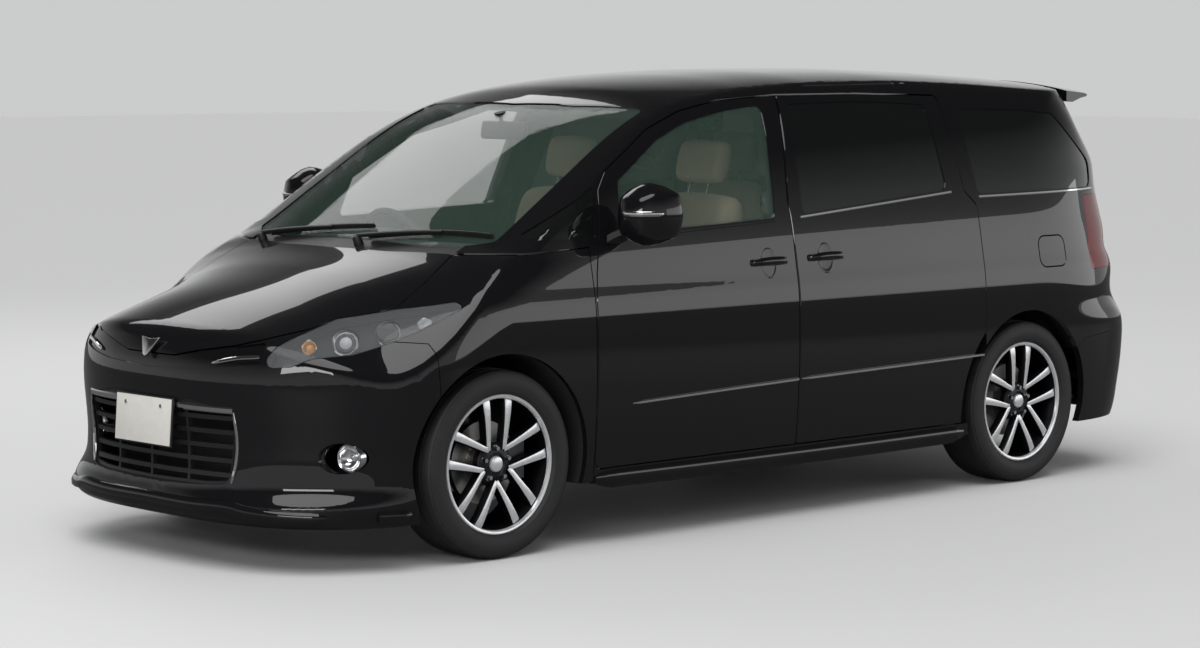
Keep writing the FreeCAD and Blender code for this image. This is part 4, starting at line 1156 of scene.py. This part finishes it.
def makeCabinFittings():
    bm = softBox((0.36, 0.16, 0.075), (-0.385, -1.045, 1.075), 0.030, segments=4)
    addShape(bm, softBox((0.29, 0.05, 0.15), (0.0, -0.965, 0.985), 0.012), 0)
    addShape(bm, softBox((0.20, 0.004, 0.105), (0.0, -0.939, 0.990), 0.0015, segments=2), 1)
    finishPiece("dashFittings", bm, "body", [dashPlastic, glossTrim], "dash_plastic")
    bm = softBox((0.250, 0.030, 0.072), (0, 0, 0), 0.014, segments=4)
    moved(bm, (0, -0.700, 1.498), -10)
    addShape(bm, lathe([(0, 0.0), (0.009, 0.0), (0.008, 0.045), (0.022, 0.055), (0.024, 0.062), (0, 0.064)],
                       24, (0, -0.25, 1), (0, -0.706, 1.508)))
    finishPiece("cabinMirror", bm, "body", [blackTrim], "black_trim")


makeCabinFittings()
print("stage: cabin made")


# Floor, background and lights
# The floor's colour for glossy rays is a painted reflection: a darker floor than the lit one, seen only in
# the paint and glass.
stage = {"floor": (0.78, 0.78, 0.78, 1), "floorPaintedDarkReflection": (0.10, 0.10, 0.10, 1),
         "sky": (0.765, 0.77, 0.77, 1), "skyLow": 0.12, "skyHigh": 0.42, "ceiling": 0.05, "background": 0.78, "fill": 0.42}


def makeStage():
    bm = bmesh.new()
    bmesh.ops.create_grid(bm, x_segments=2, y_segments=2, size=60)
    mesh = bpy.data.meshes.new("studioFloor")
    bm.to_mesh(mesh)
    bm.free()
    floor = bpy.data.objects.new("studioFloor", mesh)
    bpy.context.scene.collection.objects.link(floor)
    made, start, place, shader = material("floorPaleWithPaintedDarkReflection", Roughness=0.6)
    # Painted reflection: the floor is pale (0.78) to the camera but dark (0.10) to glossy rays, so the paint
    # and glass show a darker floor than the lit floor would give.
    mirrored = start.node("ShaderNodeLightPath", output="Is Glossy Ray")
    drive(shader, Base_Color=blendColours(start, mirrored, stage["floor"], stage["floorPaintedDarkReflection"]))
    mesh.materials.append(made)
    world = bpy.data.worlds.new("studioLight")
    bpy.context.scene.world = world
    world.use_nodes = True
    tree = world.node_tree
    start = Link(tree)
    direct, glossy, through = (start.node("ShaderNodeLightPath", output="Is %s Ray" % kind)
                               for kind in ("Camera", "Glossy", "Transmission"))
    seen = (direct + glossy + through).maths("MINIMUM", 1.0)
    direction = start.node("ShaderNodeTexCoord", output="Generated")
    split = direction.node("ShaderNodeSeparateXYZ", {}, {0: direction}, output=2)
    fade = ramp(start, split, [(0.0, 1.0), (stage["skyLow"], 1.0), (stage["skyHigh"], stage["ceiling"])])
    ground = tree.nodes["Background"]
    ground.inputs["Color"].default_value = stage["sky"]
    strength = seen * fade * stage["background"] + (1 - seen) * stage["fill"]
    tree.links.new(strength.socket, ground.inputs["Strength"])


def light(name, kind, direction, power, place=(0, 0, 0), **shape):
    data = bpy.data.lights.new(name, kind)
    data.energy = power
    for key, value in shape.items():
        setattr(data, key, value)
    made = bpy.data.objects.new(name, data)
    made.location = place
    made.rotation_mode = "QUATERNION"
    made.rotation_quaternion = Vector(direction).to_track_quat("-Z", "Y")
    bpy.context.scene.collection.objects.link(made)


def lamp(name, place, target, wide, high, power):
    light(name, "AREA", Vector(target) - Vector(place), power, place, shape="RECTANGLE", size=wide,
          size_y=high)


makeStage()
light("softSky", "SUN", (-0.25, 0.35, -1.0), 1.7, angle=math.radians(50))
lamp("noseLight", (4.5, -8.5, 3.2), (0.3, -1.5, 0.9), 5.0, 1.2, 160)
lamp("sideStrip", (7.5, 7.5, 1.9), (0.9, 0.3, 0.85), 11.0, 2.4, 110)
lamp("topGlow", (-7.0, 1.2, 6.6), (0.0, -1.4, 1.0), 6.0, 3.0, 110)
bpy.context.scene.view_settings.view_transform = "Standard"
print("stage: studio made")
